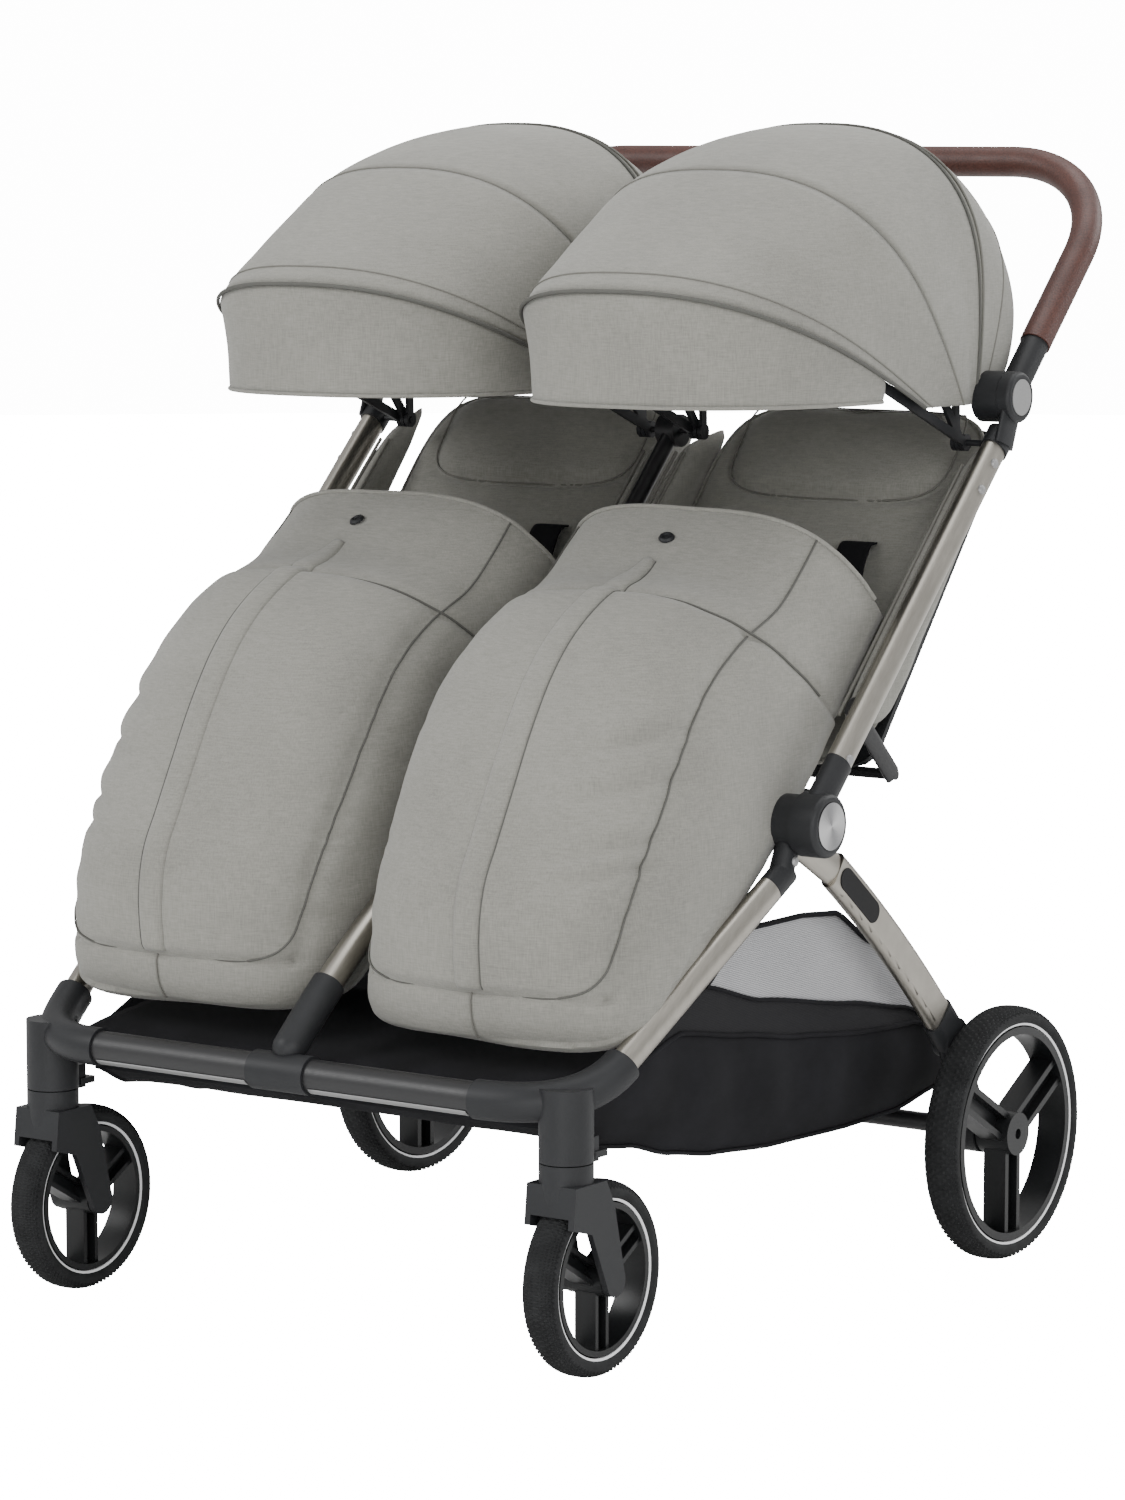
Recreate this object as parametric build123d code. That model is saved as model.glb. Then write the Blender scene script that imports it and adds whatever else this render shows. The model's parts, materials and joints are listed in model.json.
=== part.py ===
from build123d import *
import math
import os

# Side-by-side twin stroller: folding aluminium frame, two seats with footmuffs and hoods,
# two swivel castors in front and two fixed wheels behind.
# Millimetres. +Z is up, the stroller travels towards -Y, and +X is the pusher's left.
# The origin is on the floor, under the middle of the whole stroller.

# --- across the stroller (X) ---
seat_width = 330.0
seat_gap = 25.0
side_clearance = 9.5        # between a seat's edge and the upper tube beside it
tube_across = 22.0          # oval frame tube, across the stroller
tube_deep = 28.0            # oval frame tube, in side view
tube_wall = 2.0
plane_gap = 1.0             # between parts that pass each other as the frame folds
handle_inset = 11.0         # handle arms lie this far inside the upper tubes
front_leg_foot_inset = 53.0
castor_inset = 73.0
rear_wheel_inset = 13.0

# --- side view (Y, Z) ---
fold_y = -127.0
fold_z = 461.0
upper_tube_slope = 44.7
upper_tube_length = 378.0
upper_tube_start = 63.0     # from the fold axis to the tube's lower end, along the tube
upper_tube_offset = 9.5     # the tube's centre line passes this far above the fold axis
top_pivot_offset = 19.0     # the top pivot lies this far above the tube's centre line
top_pivot_reach = 50.0      # and this far past the tube's upper end
handle_slope = 45.4
handle_arm = 116.0          # straight length of the leather-covered arm
handle_sleeve = 78.0        # black sleeve between the knuckle and the leather
handle_bend = 122.0
crossbar_y = -430.0
crossbar_z = 245.0
leg_foot_y = -352.0
leg_foot_z = 274.0
rear_axle_y = 233.0

# --- wheels and castors ---
front_wheel_radius = 86.6
rear_wheel_radius = 121.8
front_tyre_width = 34.0
rear_tyre_width = 36.0
tyre_thickness = 19.0
castor_y = -408.0
castor_trail = 38.5
castor_collar_z = 195.5     # parting line between the casting and the castor
stem_radius = 24.0
axle_radius = 5.0
running_fit = 0.06          # radial clearance of a turning fit
seat_fit = 0.03             # radial clearance of a fixed fit

# --- tubes and castings ---
crossbar_radius = 15.0
casting_wall = 2.6
grip_radius = 15.0
handle_tube_radius = 12.0
sleeve_radius = 13.5
shaft_radius = 9.0
eye_radius = 20.0
hub_radius = 29.0
hub_thick = 28.0
cap_radius = 21.5
cap_thick = 2.0
pivot_radius = 24.0
pivot_cap_radius = 17.0
rear_leg_across = 15.0
rear_leg_deep = 36.0

# --- seats ---
back_slope = 50.8
back_length = 400.0
back_foot_y = -2.0          # where the backrest's front face meets the seat
back_foot_z = 502.0
seat_depth = 215.0
seat_rise = 4.0             # the seat's front edge is higher than its rear edge, in degrees
cushion_thick = 24.0
board_thick = 6.0
pan_thick = 8.0
soft_gap = 0.4              # clearance round soft pieces
fabric = 3.0                # thickness of a sewn fabric wall

# --- hoods ---
hood_bow_across = 9.0
hood_bow_thick = 4.0
visor_drop = 98.0

# --- basket ---
basket_half_width = 285.0
basket_wall = 3.0
hem_in = 60.0               # the front hem reaches the crossbar between these two distances from the middle
hem_out = 175.0

# worked out from the sizes above
seat_pitch = seat_width + seat_gap
tube_x = seat_pitch / 2 + seat_width / 2 + side_clearance + tube_across / 2
handle_x = tube_x - handle_inset
leg_foot_x = tube_x - front_leg_foot_inset
castor_x = tube_x - castor_inset
rear_wheel_x = tube_x - rear_wheel_inset
leg_top_x = tube_x - tube_across - plane_gap
rear_leg_x = leg_top_x - tube_across / 2 - plane_gap - rear_leg_across / 2
hub_in = tube_x - tube_across / 2
hub_out = hub_in + hub_thick
sides = ((1, "left"), (-1, "right"))

fold = Vector(0, fold_y, fold_z)


def slope(degrees):
    """Unit vector in side view that rises backwards by this many degrees."""
    angle = math.radians(degrees)
    return Vector(0, math.cos(angle), math.sin(angle))


along = slope(upper_tube_slope)
above = slope(upper_tube_slope + 90)
tube_low = fold + above * upper_tube_offset + along * upper_tube_start
tube_top = tube_low + along * upper_tube_length
top_pivot = tube_top + along * top_pivot_reach + above * top_pivot_offset
handle_along = slope(handle_slope)
arm_foot = tube_top + along * (top_pivot_reach + 6)
arm_start = arm_foot + handle_along * handle_sleeve
bend_start = arm_start + handle_along * handle_arm
bar = bend_start + handle_along * handle_bend
back_along = slope(back_slope)
back_above = slope(back_slope + 90)
back_foot = Vector(0, back_foot_y, back_foot_z)
recline = back_foot - back_above * (cushion_thick + soft_gap + 9.5) + back_along * 10
leg_foot = Vector(leg_foot_x, leg_foot_y, leg_foot_z)
leg_top = Vector(leg_top_x, fold_y - 38, fold_z - 55)


def at(x, point):
    """The side-view point, moved to this X."""
    return Vector(x, point.Y, point.Z)


def rod(start, end, radius):
    """Round bar from one point to another."""
    return Solid.make_cylinder(radius, (end - start).length, Plane(start, z_dir=end - start))


def disc(x_low, x_high, centre, radius):
    """Round slab across the stroller, centred on a side-view point."""
    return rod(at(x_low, centre), at(x_high, centre), radius)


def oval(start, end, across, deep):
    """Oval bar between two points, its width measured across the stroller."""
    plane = Plane(start, x_dir=(1, 0, 0), z_dir=end - start)
    return extrude(plane * Ellipse(across / 2, deep / 2), (end - start).length)


def oval_tube(start, end, across, deep, wall):
    """Oval tube between two points."""
    unit = (end - start).normalized()
    inner = oval(start - unit, end + unit, across - 2 * wall, deep - 2 * wall)
    return oval(start, end, across, deep) - inner


def side_block(points, x_low, x_high):
    """Closed side-view outline, extruded across the stroller."""
    outline = Polyline(*[(0, y, z) for y, z in points], close=True)
    return extrude(make_face(outline), x_high - x_low, dir=(1, 0, 0)).moved(Location((x_low, 0, 0)))


def both(shape):
    """The shape and its mirror image, as one group."""
    return Compound([shape, mirror(shape, Plane.YZ)])


def keep(name, shape):
    """Write one sub-part."""
    export_step(shape, os.path.join("parts", name + ".step"))


def keep_sides(name, shape):
    """Write a sub-part modelled on the +X side, and its mirror image."""
    keep(name + "_left", shape)
    keep(name + "_right", mirror(shape, Plane.YZ))


# --- front frame ---

bar_end_x = leg_foot_x - 98
casting_radius = crossbar_radius + casting_wall
crossbar_start = Vector(-bar_end_x - 22, crossbar_y, crossbar_z)
crossbar_end = Vector(bar_end_x + 22, crossbar_y, crossbar_z)
leg_along = (leg_top - leg_foot).normalized()
leg_above = Vector(1, 0, 0).cross(leg_along).normalized()


def front_crossbar():
    """Tube across the front, its ends inside the corner castings."""
    bore = rod(crossbar_start, crossbar_end, crossbar_radius - tube_wall)
    return rod(crossbar_start, crossbar_end, crossbar_radius) - bore


def front_casting():
    """Corner casting: joins the crossbar to the leg and houses the castor's stem."""
    start = Vector(bar_end_x, crossbar_y, crossbar_z)
    path = Spline([start, leg_foot], tangents=[(1, 0, 0), leg_along])
    shape = sweep(Plane(start, z_dir=(1, 0, 0)) * Circle(casting_radius), path)
    housing_top = leg_foot_z - 14
    shape += Pos(castor_x, castor_y, castor_collar_z + 0.5) * extrude(
        Circle(stem_radius), housing_top - castor_collar_z
    )
    shape -= rod(start - Vector(1, 0, 0), crossbar_end + Vector(seat_fit, 0, 0), crossbar_radius + seat_fit)
    socket = oval(
        leg_foot - leg_along * leg_plug,
        leg_foot + leg_along * 9,
        tube_across + 2 * seat_fit,
        tube_deep + 2 * seat_fit,
    )
    shape -= socket
    stem_bore = extrude(Circle(stem_pin_radius + running_fit), stem_pin_length + 1)
    return shape - Pos(castor_x, castor_y, castor_collar_z) * stem_bore


leg_plug = 16.0
stem_pin_radius = 8.0
stem_pin_length = 42.0


def front_leg():
    """Oval tube from the corner casting up to the hub bracket."""
    return oval_tube(leg_foot - leg_along * leg_plug, leg_top, tube_across, tube_deep, tube_wall)


centre_leg_radius = 13.0
centre_leg_foot = Vector(0, crossbar_y + 8, crossbar_z + 21)
centre_leg_mid = Vector(0, fold_y - 160, fold_z - 88)
centre_hub_radius = shaft_radius + 9
centre_hub_half = 13.5
centre_leg_top = fold + Vector(0, -14, -6)
centre_path = ThreePointArc(centre_leg_foot, centre_leg_mid, centre_leg_top)
sleeve_part = 0.22          # share of the centre leg that the centre casting covers


def centre_tube(path, radius):
    """Round bar along part of the centre leg's line."""
    return sweep(Plane(path @ 0, z_dir=path % 0) * Circle(radius), path)


def centre_leg():
    """Bent tube between the two seats, from the centre casting to the centre hub."""
    path = centre_path.trim(0.03, 1)
    tube = centre_tube(path, centre_leg_radius) - centre_tube(path, centre_leg_radius - tube_wall)
    return tube - disc(-20, 20, fold, shaft_radius + 1)


def front_centre_casting():
    """Saddle round the crossbar with a socket for the centre leg."""
    half = casting_radius + 14
    saddle = rod(Vector(-half, crossbar_y, crossbar_z), Vector(half, crossbar_y, crossbar_z), casting_radius)
    socket = centre_tube(centre_path.trim(0, sleeve_part), centre_leg_radius + casting_wall)
    shape = saddle + socket + Pos(centre_leg_foot) * Sphere(centre_leg_radius + casting_wall)
    shape -= rod(crossbar_start, crossbar_end, crossbar_radius + seat_fit)
    return shape - centre_tube(centre_path.trim(0.03, sleeve_part + 0.02), centre_leg_radius + seat_fit)


# --- fold hubs ---

bracket_in = leg_top_x - tube_across / 2
bracket_out = leg_top_x + tube_across / 2
eye_in = rear_leg_x - rear_leg_across / 2
shaft_end = hub_out - 6


def leg_bracket():
    """Black casting on top of the front leg, fixed on the fold shaft."""
    start = leg_top - leg_along * 22
    arm = oval(leg_top, leg_top + leg_along * 26, tube_across, tube_deep)
    arm += oval(leg_top + leg_along * 16, at(leg_top_x, fold), tube_across, tube_deep - 4)
    plug = oval(
        start,
        leg_top + leg_along * 2,
        tube_across - 2 * tube_wall - 2 * seat_fit,
        tube_deep - 2 * tube_wall - 2 * seat_fit,
    )
    shape = disc(bracket_in, bracket_out, fold, eye_radius + 6) + arm + plug
    return shape - disc(bracket_in - 1, bracket_out + 1, fold, shaft_radius + seat_fit)


def fold_cross_tube():
    """Shaft across the whole frame on the fold axis."""
    return disc(-shaft_end, shaft_end, fold, shaft_radius)


def centre_hub():
    """Clamp that holds the centre leg on the fold shaft."""
    shape = disc(-centre_hub_half, centre_hub_half, fold, centre_hub_radius)
    shape -= centre_tube(centre_path, centre_leg_radius + seat_fit)
    return shape - disc(-19, 19, fold, shaft_radius + seat_fit)


def hub_housing():
    """Round hub and neck that carry the upper tube on the fold shaft."""
    neck_across = tube_across + 1
    start = fold + above * upper_tube_offset
    neck_x = hub_in + neck_across / 2
    neck = oval(at(neck_x, start), at(neck_x, tube_low), neck_across, tube_deep + 2)
    plug = oval(
        at(tube_x, tube_low - along * 2),
        at(tube_x, tube_low + along * 24),
        tube_across - 2 * tube_wall - 2 * seat_fit,
        tube_deep - 2 * tube_wall - 2 * seat_fit,
    )
    body = disc(hub_in + 0.4, hub_out, fold, hub_radius)
    body = fillet(body.edges().filter_by(GeomType.CIRCLE).sort_by(Axis.X)[-1], 5)
    shape = body + neck + plug
    shape -= disc(hub_out - cap_thick + 0.8, hub_out + 1, fold, cap_radius + 0.3)
    return shape - disc(hub_in - 1, shaft_end + 1, fold, shaft_radius + running_fit)


def hub_caps():
    """Turned discs let into the outside of the hubs."""
    return both(disc(hub_out - cap_thick + 0.8, hub_out + 0.8, fold, cap_radius))


# --- upper frame ---


def upper_tube():
    """Oval tube from the fold hub to the top pivot."""
    return oval_tube(at(tube_x, tube_low), at(tube_x, tube_top), tube_across, tube_deep, tube_wall)


pivot_face = tube_x + 17.0
cheek_in = pivot_face - 13.7
knuckle_in = handle_x - sleeve_radius
collar_length = 20.0
pivot_pin_radius = 6.0
hood_foot = tube_top + along * 8
hood_pin_radius = 3.0
hood_pin_end = seat_pitch - 39.0


def pivot_housing():
    """Collar on the upper tube, with a cheek and pin for the handle's knuckle and a pin for the hood."""
    plug = oval(
        at(tube_x, tube_top - along * 24),
        at(tube_x, tube_top + along * 2),
        tube_across - 2 * tube_wall - 2 * seat_fit,
        tube_deep - 2 * tube_wall - 2 * seat_fit,
    )
    collar = oval(at(tube_x, tube_top), at(tube_x, tube_top + along * collar_length), tube_across + 3, tube_deep + 3)
    cheek = disc(cheek_in, pivot_face, top_pivot, pivot_radius)
    cheek = fillet(cheek.edges().filter_by(GeomType.CIRCLE).sort_by(Axis.X)[-1], 4)
    web_x = cheek_in + 5.2
    web = oval(at(web_x, tube_top + along * 6), at(web_x, top_pivot), 10.4, tube_deep + 3)
    shape = collar + cheek + web
    shape -= disc(pivot_face - 1.2, pivot_face + 1, top_pivot, pivot_cap_radius + 0.3)
    shape += disc(knuckle_in + 3, cheek_in + 1, top_pivot, pivot_pin_radius)
    shape += disc(hood_pin_end, tube_x - tube_across / 2 + 2, hood_foot, hood_pin_radius)
    return shape + plug


def handle_knuckles():
    """Round knuckles with sleeves at the feet of the handle, turning on the top pivots."""
    body = disc(knuckle_in + 0.5, cheek_in - 0.4, top_pivot, pivot_radius)
    sleeve = rod(at(handle_x, arm_foot), at(handle_x, arm_start), sleeve_radius)
    shape = body + sleeve
    shape -= disc(knuckle_in - 1, cheek_in + 1, top_pivot, pivot_pin_radius + running_fit)
    socket = rod(
        at(handle_x, arm_start - handle_along * 40),
        at(handle_x, arm_start + handle_along),
        handle_tube_radius + seat_fit,
    )
    return both(shape - socket)


def pivot_caps():
    """Plain discs let into the outside of the pivot cheeks."""
    return both(disc(pivot_face - 1.2, pivot_face + 0.6, top_pivot, pivot_cap_radius))


back_rod_radius = 5.0
lug_top = tube_low + along * 66


def back_cross_rod():
    """Rod across the upper frame that both backrests turn on, with an arm up to each upper tube."""
    arm_x = tube_x - tube_across / 2 - 5.2
    end_x = arm_x + 4.5
    shape = disc(-end_x, end_x, recline, back_rod_radius)
    for side in (-1, 1):
        shape += oval(at(side * arm_x, recline), at(side * arm_x, lug_top), 10, 20)
    return shape


upright_across = 14.0
upright_deep = 20.0
cheek_gap = centre_hub_half + 0.6
cheek_thick = 4.0
upright_joint = 82.0        # from the fold axis to where the two cheeks join the post


def centre_upright():
    """Post between the seats, forked round the centre hub: carries the inner ends of both hoods."""
    outer = cheek_gap + cheek_thick
    up = (hood_foot - fold).normalized()
    joint = fold + up * upright_joint
    post = oval(joint, hood_foot, upright_across, upright_deep)
    for side in (-1, 1):
        middle = side * (cheek_gap + cheek_thick / 2)
        post += disc(middle - cheek_thick / 2, middle + cheek_thick / 2, fold, centre_hub_radius)
        post += oval(at(middle, fold), at(middle, joint + up * 8), cheek_thick, upright_deep)
    post += oval(joint - up * 4, joint + up * 8, 2 * outer, upright_deep)
    post += disc(-10.5, 10.5, hood_foot, 16)
    post += disc(-(seat_gap / 2 + 25), seat_gap / 2 + 25, hood_foot, hood_pin_radius)
    post += oval(recline, fold + up * (recline - fold).dot(up), upright_across - 2, upright_deep)
    post -= disc(-20, 20, recline, back_rod_radius + seat_fit)
    return post - disc(-outer - 1, outer + 1, fold, shaft_radius + running_fit)


# --- rear legs ---

rear_axle = Vector(0, rear_axle_y, rear_wheel_radius)
rear_leg_top = fold + Vector(0, 98, -56)
rear_leg_low = rear_axle + Vector(0, -51, 97)
rear_leg_mid = (rear_leg_top + rear_leg_low) * 0.5 + Vector(0, 4, 5)
rear_path = ThreePointArc(at(rear_leg_x, rear_leg_top), at(rear_leg_x, rear_leg_mid), at(rear_leg_x, rear_leg_low))


def rear_section(path, across, deep):
    """Oval bar along a part of the rear leg's line."""
    plane = Plane(path @ 0, x_dir=(1, 0, 0), z_dir=path % 0)
    return sweep(plane * RectangleRounded(across, deep, across * 0.46), path)


inset_start = 0.02
inset_end = 0.30
inset_deep = 2.0


def rear_leg():
    """Bowed flat-oval leg, with its eye on the fold shaft."""
    leg = rear_section(rear_path, rear_leg_across, rear_leg_deep)
    neck = oval(at(rear_leg_x, fold), rear_path @ 0, rear_leg_across - 1, rear_leg_deep - 4)
    eye = disc(eye_in, eye_in + rear_leg_across, fold, eye_radius)
    shape = leg + neck + eye
    shape -= disc(eye_in - 1, eye_in + rear_leg_across + 1, fold, shaft_radius + running_fit)
    return shape - inset_shape(0.25)


def inset_shape(grow):
    """Oval pad let into the outer face near the leg's top."""
    start = rear_path @ inset_start
    end = rear_path @ inset_end
    face_x = rear_leg_x + rear_leg_across / 2 - inset_deep
    plane = Plane(at(face_x - (grow > 0) * 0.01, start), x_dir=end - start, z_dir=(1, 0, 0))
    length = (end - start).length
    slot = SlotOverall(length + 2 * grow, 21 + 2 * grow)
    return extrude(plane * Pos(length / 2, 0) * slot, inset_deep + 0.8)


def leg_insets():
    """Black pads in the outer faces of the rear legs."""
    return both(inset_shape(0))


foot_socket = 0.88          # the foot covers the leg from this share of its length


def rear_feet():
    """Black feet that join the rear legs to the axle."""
    cover = rear_section(rear_path.trim(foot_socket, 1), rear_leg_across + 3.4, rear_leg_deep + 4)
    low = rear_path @ 1
    shin = oval(low, at(rear_leg_x, rear_axle), rear_leg_across + 3.4, 40)
    boss = disc(rear_leg_x - 10, rear_leg_x + 10, rear_axle, 22)
    shape = cover + shin + boss + Pos(low) * Rot(0, 90, 0) * Cylinder(19, rear_leg_across + 3.4)
    shape -= rear_section(rear_path.trim(foot_socket - 0.02, 1), rear_leg_across + 2 * seat_fit, rear_leg_deep + 2 * seat_fit)
    return both(shape - disc(rear_leg_x - 12, rear_leg_x + 12, rear_axle, axle_tube_radius + seat_fit))


axle_tube_radius = 9.0
axle_end = rear_wheel_x + rear_tyre_width / 2 - 5


def rear_axle_tube():
    """Tube between the rear feet, stepped down to an axle for each wheel."""
    shoulder = rear_leg_x + 11
    tube = disc(-shoulder, shoulder, rear_axle, axle_tube_radius)
    return tube + disc(-axle_end, axle_end, rear_axle, axle_radius)


pedal_half = 42.0


def brake_pedal():
    """Foot pedal that turns on the axle tube, in the middle."""
    hub = disc(-pedal_half, pedal_half, rear_axle, axle_tube_radius + 5)
    reach = rear_axle + Vector(0, 62, 8)
    plate = side_block(
        [
            (rear_axle.Y + 4, rear_axle.Z + 12),
            (reach.Y, reach.Z + 12),
            (reach.Y, reach.Z + 4),
            (rear_axle.Y + 6, rear_axle.Z - 4),
        ],
        -pedal_half,
        pedal_half,
    )
    return (hub + plate) - disc(-pedal_half - 1, pedal_half + 1, rear_axle, axle_tube_radius + running_fit)


# --- wheels ---


def tyre(x, centre, radius, width):
    """Tyre with a rounded tread, as a ring."""
    body = disc(x - width / 2, x + width / 2, centre, radius)
    rounding = width * 0.34
    body = fillet(body.edges().filter_by(GeomType.CIRCLE), rounding)
    return body - disc(x - width, x + width, centre, radius - tyre_thickness)


def rim(x, centre, radius, width, hub_half):
    """Rim with three double-beam spokes and a hub bored for the axle."""
    outer = radius - tyre_thickness - seat_fit
    half = width / 2 - 3
    inner = outer - radius * 0.06
    shape = disc(x - half, x + half, centre, outer) - disc(x - half - 1, x + half + 1, centre, inner)
    shape += disc(x - hub_half, x + hub_half, centre, radius * 0.17)
    plane = Plane(at(x, centre), x_dir=(0, 1, 0), z_dir=(1, 0, 0))
    beam_gap = radius * 0.09
    for turn in range(3):
        spin = Rot(0, 0, 30 + 120 * turn)
        length = inner + 1 - radius * 0.12
        middle = radius * 0.12 + length / 2
        for edge in (-1, 1):
            beam = Pos(middle, edge * beam_gap) * Rectangle(length, radius * 0.05)
            shape += extrude(plane * spin * beam, half - 3, both=True)
        web = Pos(middle, 0) * Rectangle(length, 2 * beam_gap)
        shape += extrude(plane * spin * web, 2, both=True)
    return shape - disc(x - width, x + width, centre, axle_radius + running_fit)


castor_axle = Vector(0, castor_y + castor_trail, front_wheel_radius)
fork_gap = front_tyre_width / 2 + 3.0
fork_wall = 6.0
crown_low = front_wheel_radius * 2 + 3.0


def castor_fork():
    """Castor body: stem, crown and two arms with the wheel's axle between them."""
    outer = fork_gap + fork_wall
    stem_base = Pos(castor_x, castor_y, crown_low - 20) * extrude(
        Circle(stem_radius), castor_collar_z - crown_low + 19.5
    )
    pin = Pos(castor_x, castor_y, crown_low) * extrude(
        Circle(stem_pin_radius), castor_collar_z - crown_low + stem_pin_length
    )
    arm_points = [
        (castor_y - 22, crown_low + 2),
        (castor_y + 24, crown_low + 2),
        (castor_y + 36, crown_low - 22),
        (castor_axle.Y + 13, castor_axle.Z + 4),
        (castor_axle.Y - 13, castor_axle.Z - 4),
        (castor_y + 2, crown_low - 42),
        (castor_y - 26, crown_low - 34),
    ]
    shape = side_block(arm_points, castor_x - outer, castor_x + outer)
    shape += disc(castor_x - outer, castor_x + outer, castor_axle, 14)
    shape += stem_base
    tunnel = disc(castor_x - fork_gap, castor_x + fork_gap, castor_axle, front_wheel_radius + 4)
    shape = shape - tunnel + pin
    axle = disc(castor_x - outer + 1, castor_x + outer - 1, castor_axle, axle_radius)
    return shape + axle


lock_reach = 20.0
lock_y = castor_y + stem_radius


def swivel_lock():
    """Lever behind the castor's stem that slides down to lock the swivel."""
    low = castor_collar_z - 1
    plate = Pos(castor_x, lock_y + 6.3, low + 8) * Box(18, 12, 22)
    toe = Pos(castor_x, lock_y + lock_reach / 2 + 4, low + 3) * Box(22, lock_reach, 6)
    return plate + fillet(toe.edges().filter_by(Axis.Z), 2)


# --- handle ---


def handle_path(extend):
    """U-shaped centre line of the handle, starting inside the knuckle's sleeve."""
    foot = at(handle_x, arm_start - handle_along * extend)
    turn = at(handle_x, bend_start)
    corner_x = handle_x - handle_bend
    rise = handle_bend * (1 - math.sqrt(0.5))
    mid_point = at(handle_x - rise, bend_start + handle_along * handle_bend * math.sqrt(0.5))
    first = Line(foot, turn)
    bend = ThreePointArc(turn, mid_point, at(corner_x, bar))
    across = Line(at(corner_x, bar), at(-corner_x, bar))
    other_bend = ThreePointArc(at(-corner_x, bar), at(-mid_point.X, mid_point), at(-handle_x, bend_start))
    last = Line(at(-handle_x, bend_start), at(-handle_x, foot))
    return Wire([first, bend, across, other_bend, last])


def handle_bar(extend, radius):
    """Round bar along the handle's centre line."""
    path = handle_path(extend)
    return sweep(Plane(at(handle_x, arm_start - handle_along * extend), z_dir=handle_along) * Circle(radius), path)


def handle_tube():
    """Bent metal tube inside the leather cover."""
    return handle_bar(38, handle_tube_radius) - handle_bar(39, handle_tube_radius - tube_wall)


button_length = 46.0
button_wide = 12.0
saddle_length = 230.0
saddle_height = 3.0


def handle_grip():
    """Stitched leatherette cover round the handle."""
    return handle_bar(0, grip_radius) - handle_bar(1, handle_tube_radius + seat_fit) - button_pocket(0.5)


def button_pocket(grow):
    """Space for the fold button in the top of the handle bar."""
    height = grip_radius - handle_tube_radius - 0.6
    place = Pos(0, bar.Y, bar.Z + handle_tube_radius + 0.6)
    slot = SlotOverall(button_length + 2 * grow, button_wide + 2 * grow)
    return place * extrude(slot, height + saddle_height + 4)


def button_saddle():
    """Low housing on top of the bar round the fold button."""
    ring = rod(Vector(-saddle_length / 2, bar.Y, bar.Z), Vector(saddle_length / 2, bar.Y, bar.Z), grip_radius + saddle_height)
    ring -= rod(Vector(-saddle_length, bar.Y, bar.Z), Vector(saddle_length, bar.Y, bar.Z), grip_radius + seat_fit)
    upper_half = Pos(0, bar.Y, bar.Z + 50 + 4) * Box(saddle_length + 2, 100, 100)
    return (ring & upper_half) - button_pocket(0.5)


button_travel = 1.6


def fold_button():
    """Button pressed to release the fold."""
    place = Pos(0, bar.Y, bar.Z + handle_tube_radius + 0.6 + button_travel + 0.2)
    slot = SlotOverall(button_length, button_wide)
    top = grip_radius + saddle_height + 1.8
    height = top - handle_tube_radius - 0.6 - button_travel - 0.2
    return fillet((place * extrude(slot, height)).edges().group_by(Axis.Z)[-1], 1.2)


# --- seats ---

seat_x = seat_pitch / 2
seat_half = seat_width / 2 - 35
back_half = seat_width / 2 - 15
pan_along = slope(180 - seat_rise)
pan_above = slope(90 - seat_rise)


def slab(start, direction, normal, length, thick, x_low, x_high):
    """Flat slab between two X values, laid from a side-view point along a direction."""
    points = [start, start + direction * length, start + direction * length - normal * thick, start - normal * thick]
    return side_block([(p.Y, p.Z) for p in points], x_low, x_high)


pan_start = back_foot - Vector(0, 26, 0) - pan_above * (cushion_thick + soft_gap)
pan_reach = (fold.Y - pan_start.Y) / pan_along.Y        # along the pan to a point above the shaft
pan_middle = pan_start + pan_along * pan_reach - pan_above * pan_thick / 2


def seat_pans():
    """Seat boards, carried on the fold shaft."""
    pan = slab(pan_start, pan_along, pan_above, seat_depth, pan_thick, seat_x - seat_half, seat_x + seat_half)
    pan = fillet(pan.edges().filter_by(Axis(pan_start, pan_above)), 14)
    saddle_half = 14
    saddles = []
    for place in (-0.62, 0.62):
        x = seat_x + place * seat_half
        saddle = disc(x - saddle_half, x + saddle_half, fold, shaft_radius + 5)
        saddle += side_block(
            [
                (fold.Y - 10, fold.Z),
                (fold.Y + 10, fold.Z),
                (fold.Y + 10, pan_middle.Z),
                (fold.Y - 10, pan_middle.Z),
            ],
            x - saddle_half,
            x + saddle_half,
        )
        saddles.append(saddle)
    shape = pan + saddles[0] + saddles[1]
    return both(shape - disc(0, tube_x, fold, shaft_radius + seat_fit))


def seat_cushion():
    """Soft seat pad on the seat board."""
    start = pan_start + pan_above * (cushion_thick + soft_gap)
    pad = slab(start, pan_along, pan_above, seat_depth + 8, cushion_thick, seat_x - seat_half, seat_x + seat_half)
    return fillet(pad.edges(), 7)


barrel_radius = 9.0


def back_board():
    """Stiff board behind the backrest pad."""
    start = back_foot - back_above * (cushion_thick + soft_gap) + back_along * 8
    board = slab(
        start, back_along, back_above, back_length - 16, board_thick, seat_x - back_half, seat_x + back_half
    )
    board = fillet(board.edges().filter_by(Axis(start, back_above)), 30)
    board -= disc(0, seat_pitch, recline, back_rod_radius + 1.5)
    for place in (-0.6, 0.6):
        x = seat_x + place * back_half
        board += disc(x - 22, x + 22, recline, barrel_radius)
    return board - disc(0, seat_pitch, recline, back_rod_radius + running_fit)


def back_cushion():
    """Soft backrest pad."""
    pad = slab(
        back_foot, back_along, back_above, back_length, cushion_thick, seat_x - back_half, seat_x + back_half
    )
    return fillet(pad.edges(), 8)


# --- footmuffs ---

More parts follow.
